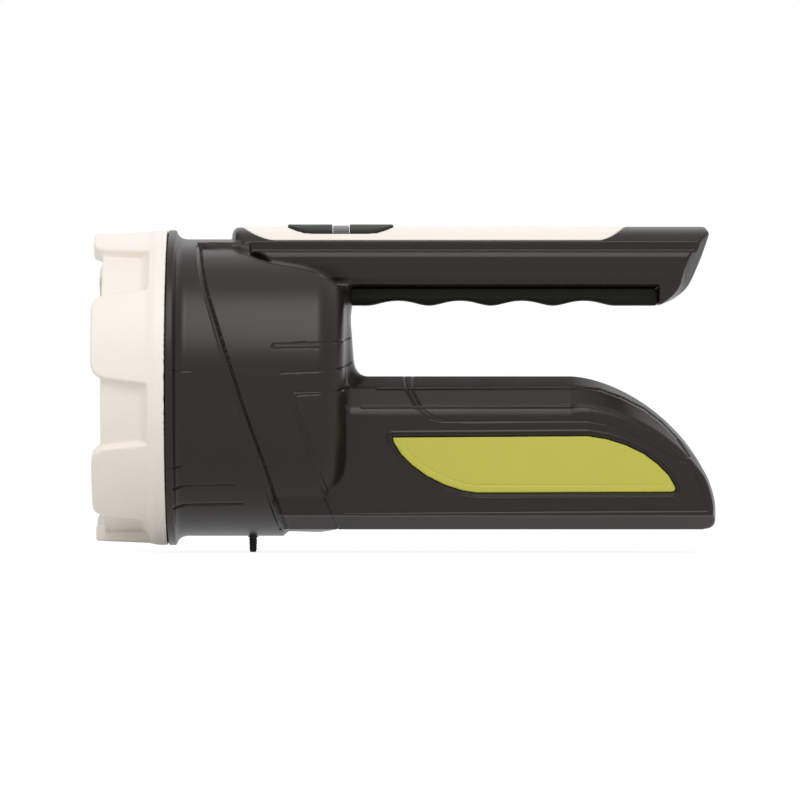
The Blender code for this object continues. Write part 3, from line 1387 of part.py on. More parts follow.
def battery_leads(red, black, root):
    """From the contacts, over the cells and up the rear wall to the driver board."""
    board = driver_board_rear() - BOARD_THICKNESS / 2
    board_low = DRIVER_RISE - DRIVER_HEIGHT / 2 - GAP
    hanging = board_low - BATTERY_LEAD_RISE
    front, rear = holder_ends()
    inset = HOLDER_WALL + GAP + CONTACT_THICKNESS / 2
    contact_top = holder_bottom() + HOLDER_DEPTH + CONTACT_BUMP * 2 + GAP
    rise = upper_boss_height() - BOSS_RADIUS - BATTERY_LEAD_ROOM
    side = cell_sides()[0]
    plus_end = front + inset
    lead("lead_battery_plus",
         [(board, side, board_low), (board, side, hanging), (BARREL_REAR, side, rise),
          (blend(BARREL_REAR, plus_end, LEAD_SHARES[1]), side, rise),
          (plus_end, side, contact_top + BATTERY_LEAD_RISE / 3), (plus_end, side, contact_top)],
         red, root)
    side = WIRE_RADIUS * 4
    above = CELL_HEIGHT + CELL_RADIUS - WIRE_RADIUS
    cell_rear = CELL_FRONT + CELL_LENGTH
    minus_end = rear - inset
    lead("lead_battery_minus",
         [(board, side, board_low), (board, side, hanging), (BARREL_REAR, 0, rise),
          (front - HOLDER_WALL * 2, 0, rise), (plus_end, 0, above + WIRE_RADIUS * 2),
          (cell_rear - CELL_LENGTH / 2, 0, above), (cell_rear - CELL_CAP_RADIUS, 0, above),
          (minus_end, 0, contact_top + WIRE_RADIUS * 2), (minus_end, 0, contact_top)],
         black, root)


def switch_lead(black, root):
    board = driver_board_rear() - BOARD_THICKNESS / 2
    low = DRIVER_RISE + DRIVER_HEIGHT / 2 + GAP
    high = switch_board_top() - BOARD_THICKNESS - GAP
    near, far = [blend(low, high, share) for share in LEAD_SHARES]
    lead("lead_switch", [(board, 0, low), (board, 0, near), (board + WIRE_RADIUS, 0, far),
                         (board + WIRE_RADIUS, 0, high)], black, root)


def charge_lead(red, root):
    """From the socket, under the heat sink and through the rib to the driver board."""
    board = driver_board_rear() - BOARD_THICKNESS / 2
    board_low = DRIVER_RISE - DRIVER_HEIGHT / 2 - GAP
    socket_top = -BARREL_RADIUS + WALL + EDGE + SOCKET_HEIGHT
    under = -HEAT_SINK_RADIUS - CHARGE_LEAD_DROP
    plate_rear = sink_plate_front() + HEAT_SINK_PLATE
    side = -WIRE_RADIUS * 4
    lead("lead_charge",
         [(SOCKET_PLACE, 0, socket_top + GAP), (SOCKET_PLACE, 0, socket_top + WIRE_RADIUS * 2),
          (plate_rear, 0, under), (plate_rear + SINK_RIB_DEPTH + OVERRUN, 0, under),
          (board - OVERRUN, side, under / 2), (board, side, board_low - BATTERY_LEAD_RISE),
          (board, side, board_low)],
         red, root)


def main():
    clear_scene()
    root = bpy.data.objects.new("lamp", None)
    root.location = (-LAMP_LENGTH / 2, 0, AXIS_HEIGHT)
    bpy.context.scene.collection.objects.link(root)
    black = make_material("black_plastic", SHELL_BLACK, 0.3)
    cream = make_material("cream_plastic", CREAM, 0.45)
    lime = make_material("lime_plastic", LIME, 0.4)
    rubber = make_material("black_rubber", RUBBER_BLACK, 0.8)
    grey_rubber = make_material("grey_rubber", RUBBER_GREY, 0.7)
    button_grey = make_material("button_rubber", BUTTON_GREY, 0.6)
    window_grey = make_material("window_plastic", WINDOW_GREY, 0.25)
    clear = make_material("clear_glass", CLEAR, 0.03, 0, 1)
    chrome = make_material("chrome", CHROME, 0.05, 1)
    aluminium = make_material("aluminium", ALUMINIUM, 0.4, 1)
    steel = make_material("steel", STEEL, 0.35, 1)
    green = make_material("board_green", BOARD_GREEN, 0.4)
    white = make_material("board_white", BOARD_WHITE, 0.5)
    phosphor = make_material("phosphor", PHOSPHOR, 0.3)
    blue = make_material("cell_wrap", CELL_BLUE, 0.35)
    holder_black = make_material("holder_plastic", HOLDER_BLACK, 0.5)
    red = make_material("wire_red", WIRE_RED, 0.5)
    wire_black = make_material("wire_black", WIRE_BLACK, 0.5)

    housing_shells(black, root)
    screws(steel, root)
    bezel(cream, root)
    lens(clear, root)
    lens_seal(rubber, root)
    reflector(chrome, root)
    heat_sink(aluminium, root)
    light_source(white, phosphor, root)
    driver_board(green, root)
    handle_strip(cream, root)
    switch_pad(button_grey, window_grey, root)
    switches(green, holder_black, root)
    handle_grip(rubber, root)
    side_panels(lime, root)
    charge_port(holder_black, grey_rubber, root)
    battery_cells(blue, root)
    battery_holder(holder_black, root)
    battery_contacts(steel, root)
    led_leads(red, wire_black, root)
    battery_leads(red, wire_black, root)
    switch_lead(wire_black, root)
    charge_lead(red, root)


main()
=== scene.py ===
"""Looks of the hand-held searchlight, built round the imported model.

Shapes are made in the lamp's own frame, in millimetres: the front of the bezel
lugs is at x = 0, the beam axis at y = z = 0 and the handle is up. Each moulded
piece is a distance field, negative inside, whose zero surface becomes its mesh.
"""

import functools
import json
import math

import bpy
import bmesh
import numpy as np
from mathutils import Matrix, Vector


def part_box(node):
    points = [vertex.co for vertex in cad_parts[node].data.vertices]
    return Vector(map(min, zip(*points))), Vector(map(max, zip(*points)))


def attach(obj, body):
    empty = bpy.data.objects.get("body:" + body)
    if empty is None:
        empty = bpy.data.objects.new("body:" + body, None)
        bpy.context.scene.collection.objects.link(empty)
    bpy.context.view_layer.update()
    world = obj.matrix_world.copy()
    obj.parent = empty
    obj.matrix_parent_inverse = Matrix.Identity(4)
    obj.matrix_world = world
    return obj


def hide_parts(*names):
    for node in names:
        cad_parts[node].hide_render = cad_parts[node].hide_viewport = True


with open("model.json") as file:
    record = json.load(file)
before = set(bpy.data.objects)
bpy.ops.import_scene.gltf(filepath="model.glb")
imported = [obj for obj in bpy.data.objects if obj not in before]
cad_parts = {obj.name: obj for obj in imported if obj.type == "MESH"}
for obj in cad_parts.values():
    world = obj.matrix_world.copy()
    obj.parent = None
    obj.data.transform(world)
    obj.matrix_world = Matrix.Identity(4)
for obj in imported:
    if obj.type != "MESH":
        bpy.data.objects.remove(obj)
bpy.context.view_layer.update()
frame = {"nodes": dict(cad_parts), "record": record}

MM = 0.001

# The lamp's frame, read from the bezel
BEZEL_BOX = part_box("bezel")
ORIGIN_X = BEZEL_BOX[0].x
AXIS_Z = (BEZEL_BOX[0].z + BEZEL_BOX[1].z) / 2

# Camera of the photograph, in millimetres and in pixels of its 800 wide frame
IMAGE_SIZE = 800
SENSOR_WIDTH = 36
CAMERA_DISTANCE = 2750
CAMERA_LENS = 355.6
CAMERA_X = 106.1
CAMERA_Z = -4.3

# Fineness of the meshes
SHELL_CELL = 0.6
BEZEL_CELL = 0.6
THIN_CELL = 0.4
SMALL_CELL = 0.2
GRIP_CELL = THIN_CELL * 1.2
BUTTON_CELL = SMALL_CELL * 1.5
TABLE_CELL = 0.5
TABLE_END = 1.001
GROOVE_CELL = 0.4
NEAR_CELL = 1
REFINE_ROUNDS = 2
CARVE_ROUNDS = 4
RIM_ROUNDS = 3
SLAB = 24
GRADIENT_REACH = 0.12
NORMAL_REACH = 0.1
SLOPE_FLOOR = 0.2
SETTLE_SHARE = 0.4
SHADE_LIMIT = 0.8
CURVE_SAMPLES = 400
CURVE_WIDTH = 25
ARC_STEPS = 8
CROWN_STEPS = 24
TAIL_STEPS = 60
BOWL_STEPS = 40
TURN_SEGMENTS = 96
MERGE_DISTANCE = 1e-4
SHARP_ANGLE = math.radians(35)
TINY = 1e-9
BIG = 1e3
NEAR_DEPTH = 1.05

# Walls and clearances
GAP = 0.3
WALL = 4.2
CUT_ROUND = 0.4
OVERRUN = 2

# Barrel, with the front sleeve's slanting step and its tongue along the top
BARREL_RADIUS = 50
BARREL_REAR = 87
BARREL_BORE = 47.6
SHOULDER_RADIUS = 10
NECK_RADIUS = 48.6
NECK_FRONT = 12.9
NECK_BORE = 46.2
FLANGE_LENGTH = 2.8
FLANGE_FILLET = 4.4
FLANGE_ROUND = 0.8
FLANGE_WALL = 1.5
NECK_BORE_REAR = 43.5
STEP_HEIGHT = 1.6
STEP_SLANT_SHARE = 0.94
STEP_LINE_DEPTH = 0.4
STEP_LINE_HALF_WIDTH = 1.6
STEP_LINE_CLEARANCE = 2
STEP_LINE_END = 6
PIXEL = 0.348
TONGUE_HALF_WIDTH = 11.5
TONGUE_START = 36.7
TONGUE_SPREAD_SHARE = 0.29
TONGUE_SPREAD_MIN = 0.3
ROOF_MARGIN = 1
ROOF_LEAD = 4
PORT_PLACE = 55
PORT_RADIUS = 1.8
PORT_REACH = 2

# Handle
HANDLE_FRONT = 47.7
HANDLE_REAR = 213.6
HANDLE_TOP = 56
HANDLE_BOTTOM = 28.6
HANDLE_HALF_WIDTH = 17.2
HANDLE_RAKE = 17.9
HANDLE_SLOPE_SHARE = 0.9
HANDLE_END_ROUND = 0.7
CROWN_RADIUS = 18
CROWN_ANGLE = math.radians(46)
LEDGE_HEIGHT = 47
PANEL_BOTTOM = 34.7
HEEL_HEIGHT = 36
NOSE_RADIUS = 3.2
NOSE_DEPTH = 6.4
NOSE_TAPER = 11
REAR_TAPER = 4.6

# Flare and pocket where the handle meets the barrel
SADDLE_FRONT = 42
SADDLE_REAR = 87.2
SADDLE_ANGLE = math.radians(43)
SADDLE_DEPTH = 6
SADDLE_INSET = 0.6
SADDLE_ROUND = 0.6
SADDLE_SLOPE_SHARE = 0.9
NOSE_CREST = 49
FLARE_MIN = 0.4
POCKET_FRONT = 54
POCKET_FADE = 1
POCKET_DIP = 0.8
POCKET_OVERLAP = 0.1
LIP_WIDTH = 1.2

# Spine between the barrel, the handle and the tail
SPINE_HALF_WIDTH = 20
SPINE_CORNER = 7
SPINE_LOW = -25

# Battery tail
TAIL_FRONT = 57
TAIL_TOP = 3.9
TAIL_BOTTOM = 49
TAIL_HALF_WIDTH = 31
TAIL_REAR = 215
TAIL_BEND = 165
TAIL_TOE = 42
TAIL_ROUND_SHARE = 1.68
TAIL_SLOPE_SHARE = 0.8
TAIL_EDGE_ROUND = 0.8
TAIL_SIDE_ROUND = 0.6
TOE_RADIUS = 3.6
FACET_DROP = 11
REAR_ROUND = 2
REAR_SHARE = 0.2
CHAMFER_RISE = 5.4
CHAMFER_SLOPE_SHARE = 0.86

# Reach of the fillets between the housing's forms
TAIL_BLEND_PLACES = (66, 84)
TAIL_BLEND_REACHES = (0.8, 3.2)
SPINE_BLEND = 3.5
SADDLE_BLEND = 2.5
TOP_BLEND = 0.5
ROOT_BLEND = 3

# Side panels, with the rim round them and the fine line on them
PANEL_FACE = 30.7
PANEL_BACK = 28.9
PANEL_SEAT = 2.4
PANEL_ROUND = 0.5
PANEL_LINE_INSET = 2.5
PANEL_LINE_HALF_WIDTH = 0.4
PANEL_LINE_DEPTH = 0.14
PANEL_LINE_TOP = -20.5
PANEL_LINE_SLOPE_SHARE = 0.4
RIM_PLACE = 1.7
RIM_HALF_WIDTH = 0.7
RIM_SINK = 0.35
RIM_RISE = 0.3

# Top strip, buttons and window
STRIP_FRONT = 51.4
STRIP_REAR = 184
STRIP_HALF_WIDTH = 11.8
STRIP_THICKNESS = 1.8
STRIP_REAR_ROUND = 9.5
STRIP_ROUND = 0.6
PAD_FRONT = 67
PAD_REAR = 103.9
PAD_HALF_WIDTH = 9
PAD_PROUD = 0.8
BUTTON_BOTTOM = 0.7
BUTTON_SIDE_ROUND = 0.4
BUTTON_TOP_ROUND = 0.5
STEM_RADIUS = 2
STEM_END = 51.7
STEM_HOLE_RADIUS = 2.5
STEM_HOLE_RISE = 5
WINDOW_FRONT = 82.9
WINDOW_REAR = 88.3
WINDOW_SINK = 0.4
MARK_RADIUS = 3.6
MARK_HALF_WIDTH = 0.5
MARK_COLOUR = (0.05, 0.2, 0.05)

# Grip, and the tongue that holds it in the housing's slot
GRIP_HALF_WIDTH = 12.4
GRIP_FRONT = 88.7
GRIP_REAR = 195.4
GRIP_TOP = 34.4
GRIP_ROUND = 0.8
GRIP_TONGUE_TOP = 36.2
GRIP_TONGUE_DEPTH = 2
GRIP_TONGUE_HALF_WIDTH = 7
GRIP_TONGUE_FRONT = 1.2
GRIP_TONGUE_REAR = 0.9
GRIP_SLOT_FRONT = 0.9
GRIP_SLOT_REAR = 0.6
GRIP_SLOT_HALF_WIDTH = GRIP_TONGUE_HALF_WIDTH + GAP
GRIP_SLOT_HALF_HEIGHT = 2.1
SCALLOP_COUNT = 4
SCALLOP_FIRST = 105.4
SCALLOP_PITCH = 21.6
SCALLOP_CHORD = 16.4
SCALLOP_DEPTH = 1.7
SCALLOP_ROUND = 1.2

# Bezel and its lugs
BEZEL_RADIUS = 54.7
BEZEL_LENGTH = 25.6
BEZEL_SEAT = 6
BEZEL_REAR_ROUND = 0.5
LENS_OPENING_RADIUS = 45
RECESS_RADIUS = 50.5
RING_FRONT = 19.8
RING_RISE = 2.1
RING_FILLET = 3.6
RING_ROUND = 0.4
RING_EDGE_ROUND = 0.5
CORE_DEPTH = 5
LUG_REACH = 3.6
LUG_COUNT = 6
LUG_FIRST_ANGLE = math.radians(20)
LUG_FRONT_HALF_ANGLE = math.radians(16.1)
LUG_REAR_HALF_ANGLE = math.radians(19)
LUG_FRONT_RADIUS = 53.3
LUG_REAR_RADIUS = 54.1
LUG_THICKNESS = 5.2
LUG_SIDE_SHARE = 0.98
LUG_CORNER = 6
LUG_FRONT_ROUND = 0.9
LUG_EDGE_ROUND = 1.1
LUG_INNER_ROUND = 0.6
LUG_BLEND = 0.8

# Screws and their bosses
SCREW_HEAD_RADIUS = 2.6
SCREW_HEAD_TOP = 12.3
SCREW_HEAD_ROUND = 0.6
SCREW_SEAT = 10
SCREW_RADIUS = 1.3
SCREW_END = -3.7
SCREW_OVERLAP = 0.5
CROSS_REACH = 1.5
CROSS_HALF_WIDTH = 0.32
CROSS_DEPTH = 1.1
BOSS_RADIUS = 3.2
PILOT_RADIUS = 1.6

# Reflector
REFLECTOR_FRONT = 11.4
REFLECTOR_FLANGE = 1.2
REFLECTOR_RADIUS = 48.07
BOWL_RADIUS = 44.7
BOWL_FOCUS = 11.2
BOWL_HOLE = 10.5
BOWL_NECK = 4
BOWL_WALL = 1.2

# Charging plug: points are (place along the plug, radius)
PLUG_TAB_RADIUS = 1.15
PLUG_TIP_CHAMFER = 0.3
PLUG_RIB_COUNT = 4
PLUG_RIB_START = 0.9
PLUG_RIB_PITCH = 0.95
PLUG_RIB_GROWTH = 0.03
PLUG_RIB_POINTS = ((0, 1.15), (0.2, 1.32), (0.5, 1.32), (0.7, 1.17))
PLUG_FLARE_PLACE = 5.6
PLUG_FLARE_POINTS = ((-0.6, 1.3), (-0.2, 1.7), (0.2, 2.1), (1.0, 2.22), (1.3, 2.1), (1.3, 1.4))
PLUG_STEM_RADIUS = 1.4
PLUG_STEM_CHAMFER = 0.4

# Low and high corners of the planes and boxes in which shapes are worked out
HANDLE_SIDE_BOX = ((40, 20), (220, 62))
HANDLE_SECTION_BOX = ((0, 20), (24, 62))
TAIL_SIDE_BOX = ((60, -56), (222, 10))
PANEL_SIDE_BOX = ((90, -50), (215, 5))
BEZEL_SIDE_BOX = ((-4, 38), (30, 60))
GRIP_SECTION_BOX = ((0, 20), (20, 40))
GROOVE_PIXEL_BOX = ((160, 330), (720, 540))
SHELL_LOW_X = 11
SHELL_LOW_Z = -58
SHELL_HIGH = (217, 57, 58)
SIDE_PANEL_BOX = ((101, 28, -38.5), (204, 31.8, -14))
SCREW_BOX_REACH = 3
SCREW_BOX_LOW = -4.2
SCREW_BOX_HIGH = 12.8
MESH_BOXES = {
    "bezel": ((-1, -57, -57), (27, 57, 57)),
    "handle_strip": ((50, -13, 48), (186, 13, 57.5)),
    "power_button": ((66, -10, 50.5), (84, 10, 58)),
    "mode_button": ((87, -10, 50.5), (105, 10, 58)),
    "indicator_window": ((82, -10, 50.5), (89.5, 10, 58)),
    "handle_grip": ((87.5, -14, 27.5), (196.5, 14, 37.5)),
}

# Studio, in metres and watts
FILL_LIGHT = 0.76
FLOOR_REACH = 6
FLOOR_COLOUR = (0.8, 0.8, 0.79)
SHADOW_COLOUR = (0.25, 0.25, 0.25)
FLOOR_GLOW = 0.9
WHITE = (1, 1, 1, 1)
CLIP_START = 0.1
CLIP_END = 50
LAMPS = (("softbox_top", (0.03, -0.84, 1.17), 0.36, 1.1, 6.9),
         ("softbox_rear", (0.2, 1.1, 1.0), 1.2, 0.6, 1.2))

# Outlines, as shares of the sizes that they follow
SECTION_SIDE_SHARES = ((0.77, 1.02), (0.93, 1.0), (0.965, 0.93), (0.99, 0.83), (1.0, 0.6),
                       (0.985, 0.27), (0.93, 0.08), (0.85, 0.0))
GRIP_SIDE_SHARES = ((1.0, 1.0), (0.98, 0.4), (0.9, 0.1), (0.76, 0.0))
RAKE_SHARES = ((0.03, 0.0), (0.25, 0.06), (0.48, 0.16), (0.61, 0.265), (0.72, 0.42),
               (0.85, 0.625), (0.96, 0.835), (1.0, 0.91), (0.93, 0.985), (0.85, 1.05))
# Taper of the handle's ends: (place across the handle, nose, rear)
TAPER_SHARES = ((0.0, 0.0, 0.0), (0.44, 0.1, 0.02), (0.5, 0.12, 0.12), (0.75, 0.35, 0.54), (1.0, 0.85, 1.0))
# Edge of the flare round the barrel: (place along it, turn)
SADDLE_SHARES = ((0.0, 0.2), (0.148, 0.4), (0.263, 0.575), (0.358, 0.68), (0.456, 0.735),
                 (0.726, 0.835), (0.838, 0.925), (0.92, 0.98), (0.96, 0.97), (0.985, 0.9), (1.0, 0.8))
# Bevels of the tail: (place across the tail, top, rear, underside)
LEVEL_SHARES = ((0.0, 0.0, 0.0, 0.0), (0.48, 0.0, 0.0, 0.0), (0.71, 0.3, 0.01, 0.0),
                (0.77, 0.38, 0.02, 0.21), (0.955, 0.95, 0.45, 0.86), (0.975, 1.02, 0.57, 0.9),
                (1.0, 1.2, 1.0, 1.0))
# Rear face of the spine: (height, place along the lamp)
SPINE_LINE = ((36, 88.4), (27.7, 88.7), (26.3, 87.5), (24.2, 87.1), (22, 87.4), (20, 88.0),
              (15.8, 88.7), (11.7, 89.1), (7.5, 89.9), (5.4, 90.5), (4, 92.2), (-25, 93))

# Lines that are read in the photograph's pixels. The band is (height, width) of the step's bevel.
STEP_LINE = ((199, 246), (200.5, 266), (204.5, 290), (212, 314), (219, 338), (229, 370), (239, 402),
             (250, 434), (261.5, 466), (272, 498), (281, 522), (287, 536))
STEP_BAND = ((240, 3.0), (536, 7.0))
# Fine grooves: half width in pixels, depth in millimetres, and the points along the groove
GROOVES = (
    (1.6, 0.32, ((318.6, 347.6), (274.3, 348.6), (271.9, 346.4), (274.3, 344.3), (318.6, 343.1),
                (338.6, 342.1), (349, 338))),
    (1.4, 0.25, ((281, 372.9), (323.6, 371.4), (335, 370.4), (343.6, 367.9), (350.7, 362.9))),
    (1.6, 0.32, ((349.3, 387.1), (338.6, 391.4), (318.6, 391.7), (293.6, 392.4), (289.6, 394.4), (289, 397.1),
                (294.3, 411.4), (302.1, 435.7), (312.1, 462.9), (323.6, 491.4), (327.1, 495.7))),
    (1.6, 0.32, ((329.3, 393.6), (296.6, 395.2), (293.1, 397.1), (297.9, 410), (306.4, 434.3), (315, 458.6),
                (327.9, 488.6), (328.6, 492))),
    (1.5, 0.35, ((325, 498.6), (328.6, 507.1), (332.1, 514.3), (335, 521.4), (337.5, 529))),
    (1.6, 0.32, ((404.3, 374), (407.1, 391.4), (417.1, 409.3), (428.6, 418.6), (441.4, 421.5), (560, 421),
                (588.6, 421), (607, 424.5), (621.4, 430), (638.6, 438), (652.9, 446.5), (668.6, 455.5),
                (680, 460.7), (688.6, 462.1))),
    (1.6, 0.32, ((412.9, 374), (412.9, 391.4), (422.1, 409.3), (435.7, 417.9), (448.6, 421.3))),
    (1.8, 0.34, ((377, 388.8), (581, 388), (600, 390), (622, 398), (644, 409), (661, 422), (676, 437),
                (689, 457))),
    (1.9, 0.38, ((362, 407.3), (588, 406.8), (609, 410.8), (626, 416.8), (647, 428.8), (666, 441.8),
                (688, 458))),
    (1.4, 0.25, ((170, 371.4), (191, 371))),
    (1.3, 0.2, ((192.9, 368.6), (216.4, 435.7))),
    (1.5, 0.3, ((171.4, 467.9), (179.3, 466.9), (222.1, 465.4))),
    (1.8, 0.4, ((173.6, 488.6), (183.6, 486), (235.7, 485.3))),
    (1.6, 0.32, ((688, 461), (695, 473), (701, 488), (706, 503), (707.5, 510))),
    (1.6, 0.3, ((344, 512.8), (706, 510.4))),
    (1.8, 0.4, ((173.6, 507.9), (185, 504.6), (242.9, 503.6))),
)
# Distance from a groove, in pixels, within which the mesh is made finer
GROOVE_REACH = 3
PANEL_LINE = ((392.5, 437.5), (588, 436.2), (607, 439.3), (626, 445.3), (644, 454), (658, 464.6),
              (669, 476), (675.2, 487), (675.4, 490.6), (672, 492), (477, 492.7), (463, 490.7),
              (445, 485), (427, 476), (412, 465), (401, 454), (394, 443))


def smooth_min(a, b, reach):
    """Either of two shapes, with a fillet where they meet."""
    blend = np.clip(0.5 + 0.5 * (b - a) / reach, 0, 1)
    return b + (a - b) * blend - reach * blend * (1 - blend)


def smooth_max(a, b, reach):
    """What two shapes have in common, with a round edge where they meet."""
    return -smooth_min(-a, -b, reach)


def common(*shapes):
    """What all the shapes have in common."""
    return functools.reduce(np.maximum, shapes)


def joined(*shapes):
    """All the shapes together."""
    return functools.reduce(np.minimum, shapes)


def outline_distance(points, u, v, shares=None):
    """Signed distance to a closed outline, negative inside, and the share at its nearest point."""
    best = np.full(np.broadcast(u, v).shape, BIG)
    share = np.zeros_like(best)
    inside = np.zeros(best.shape, bool)
    count = len(points)
    for index in range(count):
        (u0, v0), (u1, v1) = points[index], points[(index + 1) % count]
        du, dv = u1 - u0, v1 - v0
        t = np.clip(((u - u0) * du + (v - v0) * dv) / max(du * du + dv * dv, TINY), 0, 1)
        distance = np.hypot(u - u0 - t * du, v - v0 - t * dv)
        nearer = distance < best
        best = np.where(nearer, distance, best)
        if shares is not None:
            share = np.where(nearer, shares[index] * (1 - t) + shares[(index + 1) % count] * t, share)
        if dv:
            crosses = ((v0 <= v) != (v1 <= v)) & (u < u0 + (v - v0) * du / dv)
            inside ^= crosses
    return np.where(inside, -best, best), share


class Table:
    """Values on a plane grid, read back between its points."""

    def __init__(self, box, values, step=TABLE_CELL):
        low, high = box
        self.low = low
        self.step = step
        self.shape = [int(math.ceil((high[i] - low[i]) / step)) + 1 for i in (0, 1)]
        axes = [low[i] + step * np.arange(self.shape[i]) for i in (0, 1)]
        self.values = values(axes[0][:, None], axes[1][None, :])

    def __call__(self, u, v):
        cells = []
        for value, low, count in ((u, self.low[0], self.shape[0]), (v, self.low[1], self.shape[1])):
            place = np.clip((value - low) / self.step, 0, count - TABLE_END)
            whole = place.astype(np.int32)
            cells.append((whole, place - whole))
        (i, s), (j, t) = cells
        table = self.values
        near = table[i, j] * (1 - s) + table[i + 1, j] * s
        far = table[i, j + 1] * (1 - s) + table[i + 1, j + 1] * s
        return near * (1 - t) + far * t


def outline_table(box, points):
    """Table of the distance to a closed outline."""
    return Table(box, lambda u, v: outline_distance(points, u, v)[0])


def curve(points, value):
    """Smoothed line through (place, height) points, read at each value."""
    places = np.linspace(points[0][0], points[-1][0], CURVE_SAMPLES)
    heights = np.interp(places, [p[0] for p in points], [p[1] for p in points])
    width = CURVE_WIDTH
    padded = np.concatenate((2 * heights[0] - heights[width:0:-1], heights,
                             2 * heights[-1] - heights[-2:-width - 2:-1]))
    kernel = np.hanning(2 * width + 1)
    smooth = np.convolve(padded, kernel / kernel.sum(), "valid")
    return np.interp(value, places, smooth)


def photo_place(x, y, z):
    """Pixel of the photograph at which a point, or its mirror on the near side, shows."""
    scale = CAMERA_LENS / SENSOR_WIDTH * IMAGE_SIZE / (CAMERA_DISTANCE - np.abs(y))
    return IMAGE_SIZE / 2 + (x - CAMERA_X) * scale, IMAGE_SIZE / 2 - (z - CAMERA_Z) * scale


def side_place(px, py, y):
    """Place (x, z) on the plane at this depth that shows at a pixel of the photograph."""
    scale = CAMERA_LENS / SENSOR_WIDTH * IMAGE_SIZE / (CAMERA_DISTANCE - abs(y))
    return CAMERA_X + (px - IMAGE_SIZE / 2) / scale, CAMERA_Z - (py - IMAGE_SIZE / 2) / scale


def column(rows, index, value):
    """A table's column, read between its rows at a value of its first column."""
    return np.interp(value, [row[0] for row in rows], [row[index] for row in rows])


def span(value, low, high):
    """How far a value lies outside a range, negative inside."""
    return np.maximum(low - value, value - high)


def soften(points, rounds=2):
    """Cuts the corners of an open line, a few times over."""
    for _ in range(rounds):
        soft = [points[0]]
        for (a, b), (c, d) in zip(points, points[1:]):
            soft += [(a + (c - a) * share, b + (d - b) * share) for share in (0.25, 0.75)]
        points = soft + [points[-1]]
    return points


# Housing fields

def rounded_corner(a, b, radius):
    """Two half spaces that meet in a round edge."""
    a = a + radius
    b = b + radius
    return np.hypot(np.maximum(a, 0), np.maximum(b, 0)) + np.minimum(np.maximum(a, b), 0) - radius


def step_place(x, y, z):
    """How far a point shows behind the sleeve's slanting step, and how wide its bevel is, in pixels."""
    px, py = photo_place(x, y, z)
    line = [(height, place) for place, height in STEP_LINE]
    return (px - curve(line, py)) * STEP_SLANT_SHARE, column(STEP_BAND, 1, py)


def sleeve_share(x, y, z):
    """1 on the front sleeve and 0 behind its slanting step, with a bevel between."""
    behind, band = step_place(x, y, z)
    share = np.clip(0.5 - behind / band, 0, 1)
    spread = np.maximum((x - TONGUE_START) * TONGUE_SPREAD_SHARE, TONGUE_SPREAD_MIN)
    tongue = np.clip((TONGUE_HALF_WIDTH + spread - np.abs(y)) / spread, 0, 1)
    return np.maximum(share, np.where(z > 0, tongue, 0))


def barrel_field(x, y, z):
    """Barrel with its sleeve, flange and neck."""
    r = np.hypot(y, z)
    body = rounded_corner(x - BARREL_REAR, r - BARREL_RADIUS, SHOULDER_RADIUS)
    body = common(body - STEP_HEIGHT * sleeve_share(x, y, z), -pocket_field(x, y, z))
    flange_front = BEZEL_LENGTH + GAP
    flange_rear = BEZEL_LENGTH + FLANGE_LENGTH
    flange = smooth_max(r - BEZEL_RADIUS, x - flange_rear, FLANGE_ROUND)
    body = common(smooth_min(body, flange, FLANGE_FILLET), flange_front - x)
    return joined(body, common(r - NECK_RADIUS, span(x, NECK_FRONT, flange_rear)))


def barrel_bore(x, y, z):
    """Room inside the barrel, with a lower roof under the pocket beside the handle."""
    r = np.hypot(y, z)
    wide = rounded_corner(x - BARREL_REAR + BARREL_RADIUS - BARREL_BORE, r - BARREL_BORE,
                          SHOULDER_RADIUS + BARREL_BORE - BARREL_RADIUS)
    wide = common(wide, BEZEL_LENGTH + FLANGE_LENGTH + FLANGE_WALL - x)
    narrow = common(r - NECK_BORE, x - NECK_BORE_REAR)
    edge_y, edge_z = saddle_edge(x)
    roof = common(np.abs(y) - edge_y - ROOF_MARGIN, POCKET_FRONT - ROOF_LEAD - x,
                  edge_z - SADDLE_DEPTH / 2 - z)
    return common(joined(wide, narrow), -roof)


def handle_side_points():
    """The handle from the side, as (x, z)."""
    rake_start = HANDLE_REAR - HANDLE_RAKE
    height = HANDLE_TOP - HANDLE_BOTTOM
    points = [(HANDLE_FRONT, HANDLE_TOP - NOSE_DEPTH)]
    for step in range(ARC_STEPS + 1):
        angle = math.pi / 2 * step / ARC_STEPS
        points.append((HANDLE_FRONT + NOSE_RADIUS * (1 - math.cos(angle)),
                       HANDLE_TOP - NOSE_RADIUS * (1 - math.sin(angle))))
    points.append((HANDLE_FRONT + NOSE_RADIUS * 2, HANDLE_TOP + OVERRUN))
    points += [(rake_start + HANDLE_RAKE * along, HANDLE_BOTTOM + height * up)
               for along, up in soften(RAKE_SHARES[::-1])]
    points += [(rake_start, HANDLE_BOTTOM), (rake_start, PANEL_BOTTOM)]
    return points + [(HANDLE_FRONT + NOSE_TAPER, PANEL_BOTTOM)]


def handle_section_points():
    """Half section of the handle, as (y, z)."""
    points = [(-CROWN_RADIUS, HANDLE_BOTTOM)]
    centre = HANDLE_TOP - CROWN_RADIUS
    points.append((-CROWN_RADIUS, HANDLE_TOP))
    for step in range(CROWN_STEPS + 1):
        angle = CROWN_ANGLE * step / CROWN_STEPS
        points.append((CROWN_RADIUS * math.sin(angle), centre + CROWN_RADIUS * math.cos(angle)))
    panel_height = LEDGE_HEIGHT - PANEL_BOTTOM
    points += [(HANDLE_HALF_WIDTH * a, PANEL_BOTTOM + panel_height * b) for a, b in SECTION_SIDE_SHARES]
    grip_height = PANEL_BOTTOM - HANDLE_BOTTOM
    return points + [(GRIP_HALF_WIDTH * a, HANDLE_BOTTOM + grip_height * b) for a, b in GRIP_SIDE_SHARES]


